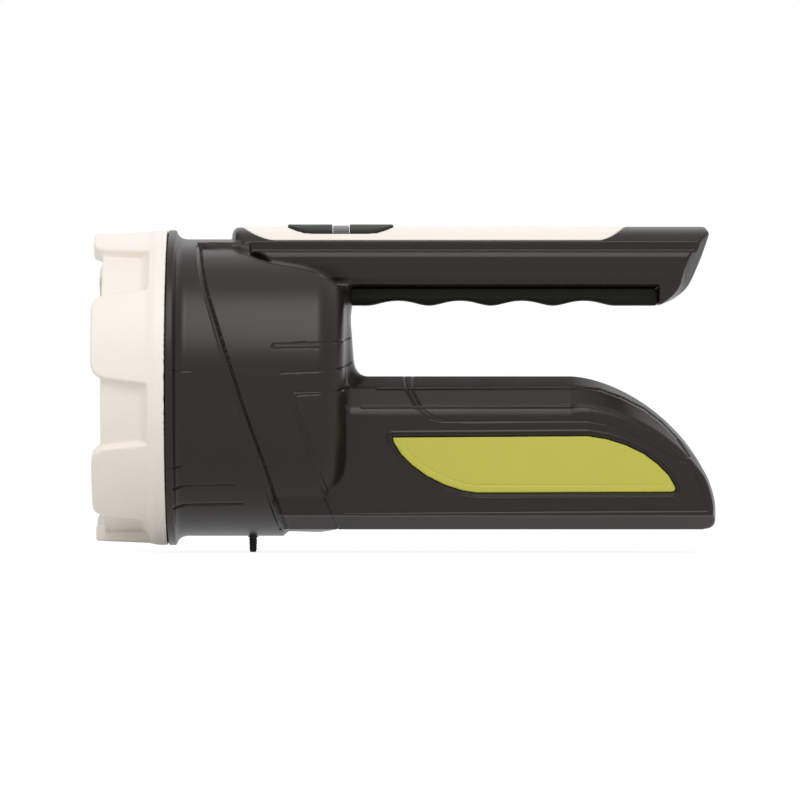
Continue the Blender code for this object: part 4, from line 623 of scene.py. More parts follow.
def tail_side_points():
    """Top, rear and toe of the tail, with the share of the top facets at each point."""
    points = [(-BIG, TAIL_TOP)]
    shares = [1]
    base = -TAIL_TOE
    for step in range(TAIL_STEPS + 1):
        t = 1 - step / TAIL_STEPS
        angle = math.pi / 2 * t
        points.append((TAIL_BEND + (TAIL_REAR - TAIL_BEND) * math.cos(angle) ** (2 / TAIL_ROUND_SHARE),
                       base + (TAIL_TOP - base) * math.sin(angle) ** (2 / TAIL_ROUND_SHARE)))
        shares.append(max(0, (t - REAR_SHARE) / (1 - REAR_SHARE)))
    for step in range(ARC_STEPS + 1):
        angle = math.pi / 2 * step / ARC_STEPS
        points.append((TAIL_REAR - TOE_RADIUS * (1 - math.cos(angle)),
                       -TAIL_BOTTOM + TOE_RADIUS * (1 - math.sin(angle))))
        shares.append(0)
    points += [(TAIL_REAR - TOE_RADIUS, -BIG), (-BIG, -BIG)]
    return points, shares + [0, 1]


def tail_share_values(u, v):
    points, shares = tail_side_points()
    return outline_distance(points, u, v, shares)[1]


HANDLE_SIDE = outline_table(HANDLE_SIDE_BOX, handle_side_points())
HANDLE_SECTION = outline_table(HANDLE_SECTION_BOX, handle_section_points())
TAIL_SIDE = outline_table(TAIL_SIDE_BOX, tail_side_points()[0])
TAIL_SHARE = Table(TAIL_SIDE_BOX, tail_share_values)


def handle_field(x, y, z):
    side = np.abs(y)
    level = side / HANDLE_HALF_WIDTH
    nose = NOSE_TAPER * column(TAPER_SHARES, 1, level)
    rear = REAR_TAPER * column(TAPER_SHARES, 2, level)
    reach = np.clip(2 * (x - HANDLE_REAR + HANDLE_RAKE) / HANDLE_RAKE, 0, 1)
    middle = (HANDLE_FRONT + HANDLE_REAR) / 2
    along = np.where(x < middle, x - nose, x + rear * reach)
    heel = common(HANDLE_SECTION(side, np.maximum(z, HEEL_HEIGHT)), GRIP_REAR + GAP - x)
    section = joined(HANDLE_SECTION(side, z), heel)
    return smooth_max(section, HANDLE_SIDE(along, z) * HANDLE_SLOPE_SHARE, HANDLE_END_ROUND)


def saddle_edge(x):
    """Half width and height of the line on which the handle's flare meets the barrel."""
    along = np.clip((x - SADDLE_FRONT) / (SADDLE_REAR - SADDLE_FRONT), 0, 1)
    turn = SADDLE_ANGLE * curve(SADDLE_SHARES, along)
    back = np.clip(x - BARREL_REAR + SHOULDER_RADIUS, 0, SHOULDER_RADIUS)
    radius = BARREL_RADIUS - SHOULDER_RADIUS + np.sqrt(SHOULDER_RADIUS ** 2 - back ** 2) + GAP
    return radius * np.sin(turn), radius * np.cos(turn)


def saddle_top(x, side):
    """Height of the flare: concave at the handle's nose, then a lip with a level floor inside it."""
    edge_y, edge_z = saddle_edge(x)
    inner = np.minimum(edge_y, HANDLE_HALF_WIDTH) - SADDLE_INSET
    out = np.clip((side - inner) / (edge_y - inner), 0, 1)
    nose = np.clip(POCKET_FRONT + POCKET_FADE - x, 0, 1)
    flare = np.maximum(NOSE_CREST - edge_z, FLARE_MIN) * (1 - out) ** 2
    dip = POCKET_DIP * np.clip((edge_y - side) / LIP_WIDTH, 0, 1) ** 2
    return edge_z + flare * nose - dip * (1 - nose)


def saddle_field(x, y, z):
    side = np.abs(y)
    edge_y, edge_z = saddle_edge(x)
    above = (z - saddle_top(x, side)) * SADDLE_SLOPE_SHARE
    shape = smooth_max(above, side - edge_y, SADDLE_ROUND)
    return common(shape, edge_z - SADDLE_DEPTH - z, span(x, SADDLE_FRONT, SADDLE_REAR))


def pocket_field(x, y, z):
    """What is cut from the barrel's top on both sides of the handle."""
    side = np.abs(y)
    return common(saddle_top(x, side) - z, side - saddle_edge(x)[0] + POCKET_OVERLAP, POCKET_FRONT - x)


def spine_field(x, y, z):
    line = curve(SPINE_LINE[::-1], z)
    wall = rounded_corner(x - line, np.abs(y) - SPINE_HALF_WIDTH, SPINE_CORNER)
    return common(wall, span(z, SPINE_LOW, PANEL_BOTTOM))


def panel_points():
    return [side_place(px, py, TAIL_HALF_WIDTH) for px, py in PANEL_LINE]


PANEL = outline_table(PANEL_SIDE_BOX, panel_points())


def rim_depth(x, z):
    """Depth of the shallow dish round the side panel, with a raised rim at its edge."""
    reach = PANEL(x, z)
    dish = RIM_SINK * np.clip((RIM_PLACE - reach) / RIM_HALF_WIDTH, 0, 1)
    return dish - RIM_RISE * groove_share(np.abs(reach - RIM_PLACE) / RIM_HALF_WIDTH)


def tail_field(x, y, z):
    """Battery tail with bevelled edges, behind the line of the sleeve's step."""
    side = np.abs(y)
    level = side / TAIL_HALF_WIDTH
    top, rear, low = (column(LEVEL_SHARES, index, level) for index in (1, 2, 3))
    share = TAIL_SHARE(x, z)
    facet = REAR_ROUND * rear + (FACET_DROP * top - REAR_ROUND * rear) * share
    above = (TAIL_SIDE(x, z) + facet) * TAIL_SLOPE_SHARE
    below = (CHAMFER_RISE * low - TAIL_BOTTOM - z) * CHAMFER_SLOPE_SHARE
    shape = smooth_max(above, below, TAIL_EDGE_ROUND)
    shape = smooth_max(shape, side - TAIL_HALF_WIDTH, TAIL_SIDE_ROUND)
    shape = shape + rim_depth(x, z) * (side > PANEL_BACK)
    return common(shape, TAIL_FRONT - x, -step_place(x, y, z)[0] * PIXEL)


def housing_outer(x, y, z):
    """Outside of the whole housing."""
    handle = handle_field(x, y, z)
    spine = spine_field(x, y, z)
    reach = np.interp(x, TAIL_BLEND_PLACES, TAIL_BLEND_REACHES)
    body = smooth_min(barrel_field(x, y, z), tail_field(x, y, z), reach)
    body = smooth_min(body, spine, SPINE_BLEND)
    top = smooth_min(handle, saddle_field(x, y, z), SADDLE_BLEND)
    root = smooth_min(handle, spine, ROOT_BLEND)
    return joined(smooth_min(body, top, TOP_BLEND), root)


def strip_distance(x, y):
    """Plan of the top strip: round at the front, elliptic at the rear."""
    front = STRIP_FRONT + STRIP_HALF_WIDTH
    rear = STRIP_REAR - STRIP_REAR_ROUND
    stretched = np.maximum(x - rear, 0) * STRIP_HALF_WIDTH / STRIP_REAR_ROUND
    reach = np.hypot(np.minimum(x - front, 0) + stretched, y)
    return reach - STRIP_HALF_WIDTH


def pad_distance(x, y):
    """Plan of the switch pad, round at both ends."""
    front = PAD_FRONT + PAD_HALF_WIDTH
    rear = PAD_REAR - PAD_HALF_WIDTH
    along = np.minimum(x - front, 0) + np.maximum(x - rear, 0)
    return np.hypot(along, y) - PAD_HALF_WIDTH


def crown_depth(y, z):
    """How deep a point lies under the handle's crown."""
    return CROWN_RADIUS - np.hypot(y, z - HANDLE_TOP + CROWN_RADIUS)


def button_places():
    """Middle of the power button and of the mode button along the lamp."""
    return (PAD_FRONT + WINDOW_FRONT) / 2, (WINDOW_REAR + PAD_REAR) / 2


def screw_places():
    """Screw axes (x, z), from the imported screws."""
    places = []
    for name in sorted(frame["nodes"]):
        if name.startswith("housing_screw"):
            low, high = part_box(name)
            places.append(((low.x + high.x) / 2 / MM - ORIGIN_X / MM,
                           (low.z + high.z) / 2 / MM - AXIS_Z / MM))
    return places


def housing_cuts(x, y, z, with_screws):
    """Everything cut from the outside of one shell."""
    side = np.abs(y)
    strip_seat = common(strip_distance(x, y) - GAP, crown_depth(y, z) - STRIP_THICKNESS - GAP,
                        LEDGE_HEIGHT - z)
    panel_seat = common(PANEL(x, z) - GAP, TAIL_HALF_WIDTH - PANEL_SEAT - side)
    port = common(np.hypot(x - PORT_PLACE, y) - PORT_RADIUS, z + BARREL_BORE - PORT_REACH)
    slot = common(GRIP_FRONT + GRIP_SLOT_FRONT - x, x - GRIP_REAR + GRIP_SLOT_REAR,
                  side - GRIP_SLOT_HALF_WIDTH, np.abs(z - PANEL_BOTTOM) - GRIP_SLOT_HALF_HEIGHT)
    cuts = joined(strip_seat, panel_seat, port, slot)
    for place in button_places():
        hole = np.hypot(x - place, y) - STEM_HOLE_RADIUS
        cuts = joined(cuts, common(hole, PANEL_BOTTOM + STEM_HOLE_RISE - z))
    if with_screws:
        for place, height in screw_places():
            hole = np.hypot(x - place, z - height) - SCREW_HEAD_RADIUS - GAP
            cuts = joined(cuts, common(hole, SCREW_SEAT - y))
    return cuts


def line_distance(points, u, v):
    """Distance to an open line, in the units of its points."""
    best = np.full(np.broadcast(u, v).shape, BIG)
    for (u0, v0), (u1, v1) in zip(points, points[1:]):
        du, dv = u1 - u0, v1 - v0
        t = np.clip(((u - u0) * du + (v - v0) * dv) / (du * du + dv * dv), 0, 1)
        best = np.minimum(best, np.hypot(u - u0 - t * du, v - v0 - t * dv))
    return best


def groove_share(reach):
    """Round-bottomed groove: 1 on its line and 0 from its half width on."""
    return (1 - np.minimum(reach, 1) ** 2) ** 2


def groove_values(px, py):
    """Depth of the grooves at a pixel of the photograph."""
    depth = np.zeros(np.broadcast(px, py).shape)
    for half, deep, points in GROOVES:
        depth = np.maximum(depth, groove_share(line_distance(points, px, py) / half) * deep)
    return depth


def groove_reach(px, py):
    """Distance to the nearest groove, in pixels."""
    reach = np.full(np.broadcast(px, py).shape, BIG)
    for _, _, points in GROOVES:
        reach = np.minimum(reach, line_distance(points, px, py))
    return reach


GROOVE_DEPTH = Table(GROOVE_PIXEL_BOX, groove_values, GROOVE_CELL)
GROOVE_NEAR = Table(GROOVE_PIXEL_BOX, groove_reach, NEAR_CELL)


def groove_depth(x, y, z):
    """Depth of the fine grooves, and of the lines on both sides of the sleeve's bevel."""
    px, py = photo_place(x, y, z)
    depth = GROOVE_DEPTH(px, py)
    behind, band = step_place(x, y, z)
    edge = np.abs(np.abs(behind) - band / 2) / STEP_LINE_HALF_WIDTH
    on_step = (py > STEP_LINE[0][1]) & (py < STEP_LINE[-1][1] - STEP_LINE_END)
    on_step &= np.abs(y) > TONGUE_HALF_WIDTH + STEP_LINE_CLEARANCE
    return np.where(on_step, np.maximum(depth, STEP_LINE_DEPTH * groove_share(edge)), depth)


def near_lines(x, y, z):
    """True where the surface carries a groove or the sleeve's bevel."""
    px, py = photo_place(x, y, z)
    near = (np.abs(step_place(x, y, z)[0]) < STEP_BAND[-1][1]) | (GROOVE_NEAR(px, py) < GROOVE_REACH)
    near |= (np.abs(PANEL(x, z) - RIM_PLACE) < RIM_PLACE) & (y > PANEL_BACK)
    near |= (np.abs(strip_distance(x, y)) < NEAR_DEPTH) & (z > LEDGE_HEIGHT)
    edge_y, edge_z = saddle_edge(x)
    near |= (np.hypot(y - edge_y, z - edge_z) < LIP_WIDTH) & (x > HANDLE_FRONT) & (x < SADDLE_REAR)
    return near & (np.abs(housing_outer(x, y, z)) < NEAR_DEPTH) & (y > GAP)


def boss_field(x, y, z):
    """Screw bosses between the walls, with their pilot holes."""
    bosses = np.full(np.broadcast(x, y, z).shape, BIG)
    holes = bosses
    for place, height in screw_places():
        reach = np.hypot(x - place, z - height)
        bosses = joined(bosses, reach - BOSS_RADIUS)
        holes = joined(holes, common(reach - PILOT_RADIUS, SCREW_END - GAP - y))
    return bosses, holes


def housing_field(with_screws, with_grooves=False):
    """One shell at y > 0. The left shell's screw holes are those of the mirrored side."""
    def field(x, y, z):
        outer = housing_outer(x, y, z)
        skin = outer + groove_depth(x, y, z) if with_grooves else outer
        cavity = joined(outer + WALL, barrel_bore(x, y, z))
        bosses, holes = boss_field(x, y if with_screws else -y, z)
        body = joined(common(skin, -cavity), common(bosses, outer + WALL / 2))
        return smooth_max(body, -joined(holes, housing_cuts(x, y, z, with_screws)), CUT_ROUND)
    return field


# Fields of the smaller pieces

def bezel_profile():
    """Half section (x, r) of the bezel without its lugs, as one filled outline."""
    fillet = RING_FRONT - RING_FILLET
    points = [(LUG_REACH, -CORE_DEPTH), (LUG_REACH, RECESS_RADIUS), (fillet, RECESS_RADIUS)]
    for step in range(1, ARC_STEPS + 1):
        t = step / ARC_STEPS
        points.append((fillet + RING_FILLET * t, RECESS_RADIUS + RING_FILLET * t ** 2))
    points += [(RING_FRONT + RING_RISE, BEZEL_RADIUS), (BEZEL_LENGTH, BEZEL_RADIUS)]
    return points + [(BEZEL_LENGTH, -CORE_DEPTH)]


BEZEL_SIDE = outline_table(BEZEL_SIDE_BOX, bezel_profile())


def lug_turn(y, z):
    """Angle from the middle of the nearest lug."""
    pitch = 2 * math.pi / LUG_COUNT
    turn = np.arctan2(z, -y) - LUG_FIRST_ANGLE
    return np.abs((turn + pitch / 2) % pitch - pitch / 2)


def bezel_field(x, y, z):
    r = np.hypot(y, z)
    ring = BEZEL_SIDE(x, r) + RING_ROUND
    ring = smooth_max(ring, r - BEZEL_RADIUS, RING_EDGE_ROUND) - RING_ROUND
    along = np.clip(x / RING_FRONT, 0, 1)
    half = LUG_FRONT_HALF_ANGLE + (LUG_REAR_HALF_ANGLE - LUG_FRONT_HALF_ANGLE) * along
    side = (lug_turn(y, z) - half) * r * LUG_SIDE_SHARE
    top = r - LUG_FRONT_RADIUS - (LUG_REAR_RADIUS - LUG_FRONT_RADIUS) * along
    lug = smooth_max(smooth_max(side, -x, LUG_CORNER), smooth_max(top, -x, LUG_FRONT_ROUND), LUG_EDGE_ROUND)
    lug = common(lug, x - RING_FRONT - RING_RISE)
    lug = smooth_max(lug, LUG_FRONT_RADIUS - LUG_THICKNESS - r, LUG_INNER_ROUND)
    body = smooth_min(ring, lug, LUG_BLEND)
    bore = np.where(x < BEZEL_SEAT, LENS_OPENING_RADIUS, NECK_RADIUS + GAP)
    return smooth_max(common(body, bore - r), x - BEZEL_LENGTH, BEZEL_REAR_ROUND)


def strip_field(x, y, z):
    depth = crown_depth(y, z)
    shape = smooth_max(strip_distance(x, y), -depth, STRIP_ROUND)
    return common(shape, depth - STRIP_THICKNESS, GAP - pad_distance(x, y), LEDGE_HEIGHT - z)


def button_field(front, rear, stem):
    def field(x, y, z):
        depth = crown_depth(y, z)
        plan = smooth_max(pad_distance(x, y), span(x, front, rear), BUTTON_SIDE_ROUND)
        shape = smooth_max(plan, -depth - PAD_PROUD, BUTTON_TOP_ROUND)
        shape = common(shape, depth - BUTTON_BOTTOM, LEDGE_HEIGHT - z)
        shaft = common(np.hypot(x - stem, y) - STEM_RADIUS, STEM_END - z)
        return joined(shape, common(shaft, depth + PAD_PROUD / 2, -depth - BUTTON_BOTTOM))
    return field


def window_field(x, y, z):
    depth = crown_depth(y, z)
    plan = common(pad_distance(x, y), span(x, WINDOW_FRONT, WINDOW_REAR))
    shape = smooth_max(plan, -depth - PAD_PROUD + WINDOW_SINK, BUTTON_TOP_ROUND)
    return common(shape, depth - BUTTON_BOTTOM, LEDGE_HEIGHT - z)


def grip_points():
    height = GRIP_TOP - HANDLE_BOTTOM
    points = [(-GRIP_HALF_WIDTH, HANDLE_BOTTOM), (-GRIP_HALF_WIDTH, GRIP_TOP)]
    return points + [(GRIP_HALF_WIDTH * a, HANDLE_BOTTOM + height * b) for a, b in GRIP_SIDE_SHARES]


GRIP_SECTION = outline_table(GRIP_SECTION_BOX, grip_points())


def grip_field(x, y, z):
    side = np.abs(y)
    body = smooth_max(GRIP_SECTION(side, z), span(x, GRIP_FRONT, GRIP_REAR), GRIP_ROUND)
    chord = (SCALLOP_CHORD / 2) ** 2
    radius = (chord + SCALLOP_DEPTH ** 2) / (2 * SCALLOP_DEPTH)
    centre = HANDLE_BOTTOM + SCALLOP_DEPTH - radius
    for index in range(SCALLOP_COUNT):
        place = SCALLOP_FIRST + SCALLOP_PITCH * index
        body = smooth_max(body, radius - np.hypot(x - place, z - centre), SCALLOP_ROUND)
    tongue = common(side - GRIP_TONGUE_HALF_WIDTH, z - GRIP_TONGUE_TOP, PANEL_BOTTOM - GRIP_TONGUE_DEPTH - z,
                    GRIP_FRONT + GRIP_TONGUE_FRONT - x, x - GRIP_REAR + GRIP_TONGUE_REAR)
    return joined(body, tongue)


def side_panel_field(x, y, z):
    plan = PANEL(x, z)
    line = groove_share(np.abs(plan + PANEL_LINE_INSET) / PANEL_LINE_HALF_WIDTH) * PANEL_LINE_DEPTH
    line = np.where(z < PANEL_LINE_TOP - np.maximum(x - TAIL_BEND, 0) * PANEL_LINE_SLOPE_SHARE, line, 0)
    shape = smooth_max(plan, y - PANEL_FACE + line, PANEL_ROUND)
    return common(shape, PANEL_BACK - y)


def screw_field(place, height):
    def field(x, y, z):
        r = np.hypot(x - place, z - height)
        head = smooth_max(r - SCREW_HEAD_RADIUS, y - SCREW_HEAD_TOP, SCREW_HEAD_ROUND)
        head = common(head, SCREW_SEAT - y)
        shank = common(r - SCREW_RADIUS, SCREW_END - y, y - SCREW_SEAT - SCREW_OVERLAP)
        across = np.abs(x - place)
        up = np.abs(z - height)
        bars = joined(common(across - CROSS_HALF_WIDTH, up - CROSS_REACH),
                      common(up - CROSS_HALF_WIDTH, across - CROSS_REACH))
        cross = common(bars, SCREW_HEAD_TOP - CROSS_DEPTH - y)
        return common(joined(head, shank), -cross)
    return field


def turned_mesh(profile, centre=(0, 0), upright=False):
    """Closed outline of (place along the axis, radius) turned about the beam axis, or an upright one."""
    count = len(profile)
    rings = []
    for step in range(TURN_SEGMENTS):
        angle = 2 * math.pi * step / TURN_SEGMENTS
        for along, radius in profile:
            across = radius * math.cos(angle)
            up = radius * math.sin(angle)
            if upright:
                rings.append((centre[0] + across, centre[1] + up, along))
            else:
                rings.append((along, across, up))
    faces = []
    for step in range(TURN_SEGMENTS):
        here, there = step * count, (step + 1) % TURN_SEGMENTS * count
        for index in range(count):
            after = (index + 1) % count
            faces.append((here + index, here + after, there + after, there + index))
    bm = bmesh.new()
    verts = [bm.verts.new(point) for point in rings]
    for face in faces:
        bm.faces.new([verts[i] for i in face])
    bmesh.ops.remove_doubles(bm, verts=bm.verts, dist=MERGE_DISTANCE)
    bmesh.ops.recalc_face_normals(bm, faces=bm.faces)
    mesh = bpy.data.meshes.new("turned")
    bm.to_mesh(mesh)
    bm.free()
    mesh.polygons.foreach_set("use_smooth", np.ones(len(mesh.polygons), bool))
    mesh.set_sharp_from_angle(angle=SHARP_ANGLE)
    return mesh


def bowl_place(radius):
    """Where the parabolic bowl has this radius."""
    vertex = REFLECTOR_FRONT + BOWL_RADIUS ** 2 / (4 * BOWL_FOCUS)
    return vertex - radius ** 2 / (4 * BOWL_FOCUS)


def reflector_profile():
    """Bowl, neck and flange as one closed outline of (x, radius)."""
    inner = [(bowl_place(BOWL_RADIUS - (BOWL_RADIUS - BOWL_HOLE) * step / BOWL_STEPS),
              BOWL_RADIUS - (BOWL_RADIUS - BOWL_HOLE) * step / BOWL_STEPS) for step in range(BOWL_STEPS + 1)]
    rear = bowl_place(BOWL_HOLE) + BOWL_NECK
    outer = [(place, radius + BOWL_WALL) for place, radius in reversed(inner)
             if place > REFLECTOR_FRONT + REFLECTOR_FLANGE]
    flange = [(REFLECTOR_FRONT + REFLECTOR_FLANGE, BOWL_RADIUS + BOWL_WALL),
              (REFLECTOR_FRONT + REFLECTOR_FLANGE, REFLECTOR_RADIUS), (REFLECTOR_FRONT, REFLECTOR_RADIUS)]
    return inner + [(rear, BOWL_HOLE), (rear, BOWL_HOLE + BOWL_WALL)] + outer + flange


def plug_profile(low, high):
    """Ribbed pull tab, flare, flange and stem, from the tip up."""
    points = [(low, 0), (low, PLUG_TAB_RADIUS - PLUG_TIP_CHAMFER), (low + PLUG_TIP_CHAMFER, PLUG_TAB_RADIUS)]
    for rib in range(PLUG_RIB_COUNT):
        base = low + PLUG_RIB_START + PLUG_RIB_PITCH * rib
        points += [(base + along, radius + PLUG_RIB_GROWTH * rib) for along, radius in PLUG_RIB_POINTS]
    flare = low + PLUG_FLARE_PLACE
    points += [(flare + along, radius) for along, radius in PLUG_FLARE_POINTS]
    points += [(high - PLUG_STEM_CHAMFER, PLUG_STEM_RADIUS), (high, PLUG_STEM_RADIUS - PLUG_STEM_CHAMFER)]
    return points + [(high, 0)]


# Meshes from fields

def field_gradient(field, points, reach=GRADIENT_REACH):
    gradient = np.zeros_like(points)
    for axis in range(3):
        shift = np.zeros(3)
        shift[axis] = reach
        gradient[:, axis] = (field(*(points + shift).T) - field(*(points - shift).T)) / (2 * reach)
    return gradient


def surface_nets(field, low, high, cell, flat_start=False):
    """Points and quads of the field's zero surface inside a box, and which points lie on a flat start.

    A flat start closes the shape half a cell above the box's lowest y. Its points
    are marked 1 inside the flat face and 2 along its rim.
    """
    axes = [np.arange(low[i], high[i] + cell, cell) for i in range(3)]
    values = np.empty([len(axis) for axis in axes], np.float32)
    y, z = axes[1][None, :, None], axes[2][None, None, :]
    for start in range(0, len(axes[0]), SLAB):
        part = axes[0][start:start + SLAB]
        values[start:start + SLAB] = field(part[:, None, None], y, z)
    if flat_start:
        values[:, 0] = cell
    inside = values < 0
    shape = [n - 1 for n in inside.shape]
    count = np.zeros(shape, np.int8)
    corners = [(i, j, k) for i in (0, 1) for j in (0, 1) for k in (0, 1)]
    for i, j, k in corners:
        count += inside[i:i + shape[0], j:j + shape[1], k:k + shape[2]]
    active = (count > 0) & (count < 8)
    cells = np.argwhere(active)
    index = np.full(shape, -1, np.int32)
    index[active] = np.arange(len(cells))
    total = np.zeros((len(cells), 3))
    number = np.zeros(len(cells))
    for axis in range(3):
        unit = np.eye(3, dtype=int)[axis]
        for corner in corners:
            if corner[axis]:
                continue
            near = cells + np.array(corner)
            far = near + unit
            a = values[tuple(near.T)]
            b = values[tuple(far.T)]
            crosses = (a < 0) != (b < 0)
            t = a[crosses] / (a[crosses] - b[crosses])
            total[crosses] += near[crosses] + t[:, None] * unit
            number[crosses] += 1
    points = np.array(low) + cell * total / number[:, None]
    faces = []
    for axis in range(3):
        one, two = (axis + 1) % 3, (axis + 2) % 3
        near = np.take(inside, range(inside.shape[axis] - 1), axis)
        far = np.take(inside, range(1, inside.shape[axis]), axis)
        edges = np.argwhere(near != far)
        edges = edges[(edges[:, one] > 0) & (edges[:, two] > 0)]
        edges = edges[(edges[:, one] < shape[one]) & (edges[:, two] < shape[two])]
        around = []
        for a, b in ((-1, -1), (0, -1), (0, 0), (-1, 0)):
            place = edges.copy()
            place[:, one] += a
            place[:, two] += b
            around.append(index[tuple(place.T)])
        quads = np.stack(around, 1)
        outward = near[tuple(edges.T)]
        quads[~outward] = quads[~outward][:, ::-1]
        faces.append(quads)
    start = np.where(cells[:, 1] == 0, np.where(count[active] < 4, 2, 1), 0) if flat_start else None
    return points, np.concatenate(faces), start


def settle(field, points, cell, rounds=2):
    """Moves points onto the field's zero surface."""
    for _ in range(rounds):
        gradient = field_gradient(field, points)
        square = np.maximum((gradient ** 2).sum(1), SLOPE_FLOOR)
        step = gradient * (field(*points.T) / square)[:, None]
        length = np.maximum(np.linalg.norm(step, axis=1), TINY)
        points = points - step * np.minimum(1, SETTLE_SHARE * cell / length)[:, None]
    return points


def flatten_start(field, points, start, height):
    """Puts the flat start on its plane and its rim on the field's zero surface."""
    points[start > 0, 1] = height
    for _ in range(RIM_ROUNDS):
        rim = points[start == 2]
        gradient = field_gradient(field, rim)
        gradient[:, 1] = 0
        square = np.maximum((gradient ** 2).sum(1), SLOPE_FLOOR)
        points[start == 2] = rim - gradient * (field(*rim.T) / square)[:, None]


def to_world(points):
    return points * MM + np.array((ORIGIN_X, 0, AXIS_Z))


def fill_mesh(points, faces):
    mesh = bpy.data.meshes.new("filled")
    mesh.vertices.add(len(points))
    mesh.vertices.foreach_set("co", points.astype(np.float32).ravel())
    mesh.loops.add(faces.size)
    mesh.loops.foreach_set("vertex_index", faces.ravel())
    mesh.polygons.add(len(faces))
    mesh.polygons.foreach_set("loop_start", np.arange(0, faces.size, faces.shape[1]))
    mesh.update(calc_edges=True)
    return mesh


def mesh_points(mesh):
    co = np.empty(len(mesh.vertices) * 3, np.float32)
    mesh.vertices.foreach_get("co", co)
    return co.reshape(-1, 3).astype(float)


def mirror_points(mesh):
    points = mesh_points(mesh) * np.array((1, -1, 1))
    mesh.vertices.foreach_set("co", points.astype(np.float32).ravel())
    mesh.flip_normals()


def refine(mesh, near, rounds):
    """Halves the edges near the fine lines, a few times over."""
    bm = bmesh.new()
    bm.from_mesh(mesh)
    for _ in range(rounds):
        bm.verts.index_update()
        flags = near(*np.array([vert.co[:] for vert in bm.verts]).T)
        edges = [edge for edge in bm.edges if flags[edge.verts[0].index] and flags[edge.verts[1].index]]
        bmesh.ops.subdivide_edges(bm, edges=edges, cuts=1, use_grid_fill=True)
    bmesh.ops.triangulate(bm, faces=[face for face in bm.faces if len(face.verts) > 4])
    bm.to_mesh(mesh)
    bm.free()


def carve(mesh, field, near, cell):
    """Moves the points near the fine lines onto the grooved surface."""
    points = mesh_points(mesh)
    flags = near(*points.T)
    points[flags] = settle(field, points[flags], cell, CARVE_ROUNDS)
    mesh.vertices.foreach_set("co", points.astype(np.float32).ravel())
    mesh.update()


def smooth_normals(mesh, field, mirrored=False):
    """Shades by the field's own slope, apart from where a face turns sharply away from it."""
    co = mesh_points(mesh)
    if mirrored:
        co[:, 1] *= -1
    normals = field_gradient(field, co, NORMAL_REACH)
    normals /= np.maximum(np.linalg.norm(normals, axis=1), TINY)[:, None]
    if mirrored:
        normals[:, 1] *= -1
    loops = len(mesh.loops)
    vertex = np.empty(loops, np.int32)
    mesh.loops.foreach_get("vertex_index", vertex)
    face_normals = np.empty(len(mesh.polygons) * 3, np.float32)
    mesh.polygons.foreach_get("normal", face_normals)
    totals = np.empty(len(mesh.polygons), np.int32)
    mesh.polygons.foreach_get("loop_total", totals)
    flat = np.repeat(face_normals.reshape(-1, 3), totals, axis=0)
    smooth = normals[vertex]
    keep = (smooth * flat).sum(1) > SHADE_LIMIT
    mesh.polygons.foreach_set("use_smooth", np.ones(len(mesh.polygons), bool))
    mesh.normals_split_custom_set(np.where(keep[:, None], smooth, flat).tolist())


def place_mesh(mesh):
    mesh.vertices.foreach_set("co", to_world(mesh_points(mesh)).astype(np.float32).ravel())


def add_piece(node_name, mesh, materials, slot, body="lamp"):
    """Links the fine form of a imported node, and names what it rides on, stands for and is finished as."""
    name = node_name + "_fine"
    place_mesh(mesh)
    mesh.name = name
    mesh.materials.append(materials[slot])
    piece = bpy.data.objects.new(name, mesh)
    bpy.context.scene.collection.objects.link(piece)
    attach(piece, body)
    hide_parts(node_name)


def field_mesh(field, box, cell):
    points, faces, _ = surface_nets(field, *box, cell)
    mesh = fill_mesh(settle(field, points, cell), faces)
    smooth_normals(mesh, field)
    return mesh


def shell_mesh(mirrored):
    """One housing shell. The left one is made on the right side and mirrored, without screw seats."""
    cell = SHELL_CELL * 1
    plain = housing_field(not mirrored)
    low = (SHELL_LOW_X, (GAP - cell) / 2, SHELL_LOW_Z)
    points, faces, start = surface_nets(plain, low, SHELL_HIGH, cell, True)
    points[start == 0] = settle(plain, points[start == 0], cell)
    flatten_start(plain, points, start, GAP / 2)
    mesh = fill_mesh(points, faces)
    field = housing_field(not mirrored, with_grooves=True)
    refine(mesh, near_lines, REFINE_ROUNDS)
    carve(mesh, field, near_lines, cell)
    if mirrored:
        mirror_points(mesh)
    smooth_normals(mesh, field, mirrored)
    return mesh


# Materials

def srgb(red, green, blue):
    """Linear colour from screen values of 0 to 255."""
    return tuple((c / 255 / 12.92) if c <= 10 else ((c / 255 + 0.055) / 1.055) ** 2.4
                 for c in (red, green, blue))


# Mottling and grain, in waves over a metre, and the grain's depth in metres
CLOUD_SCALE = 90.0
CLOUD_DETAIL = 3.0
GRAIN_SCALE = 2600.0
GRAIN_DETAIL = 2.0
GRAIN_DEPTH = 0.0002
GLOSS_SPREAD = 0.1
GLASS_IOR = 1.45
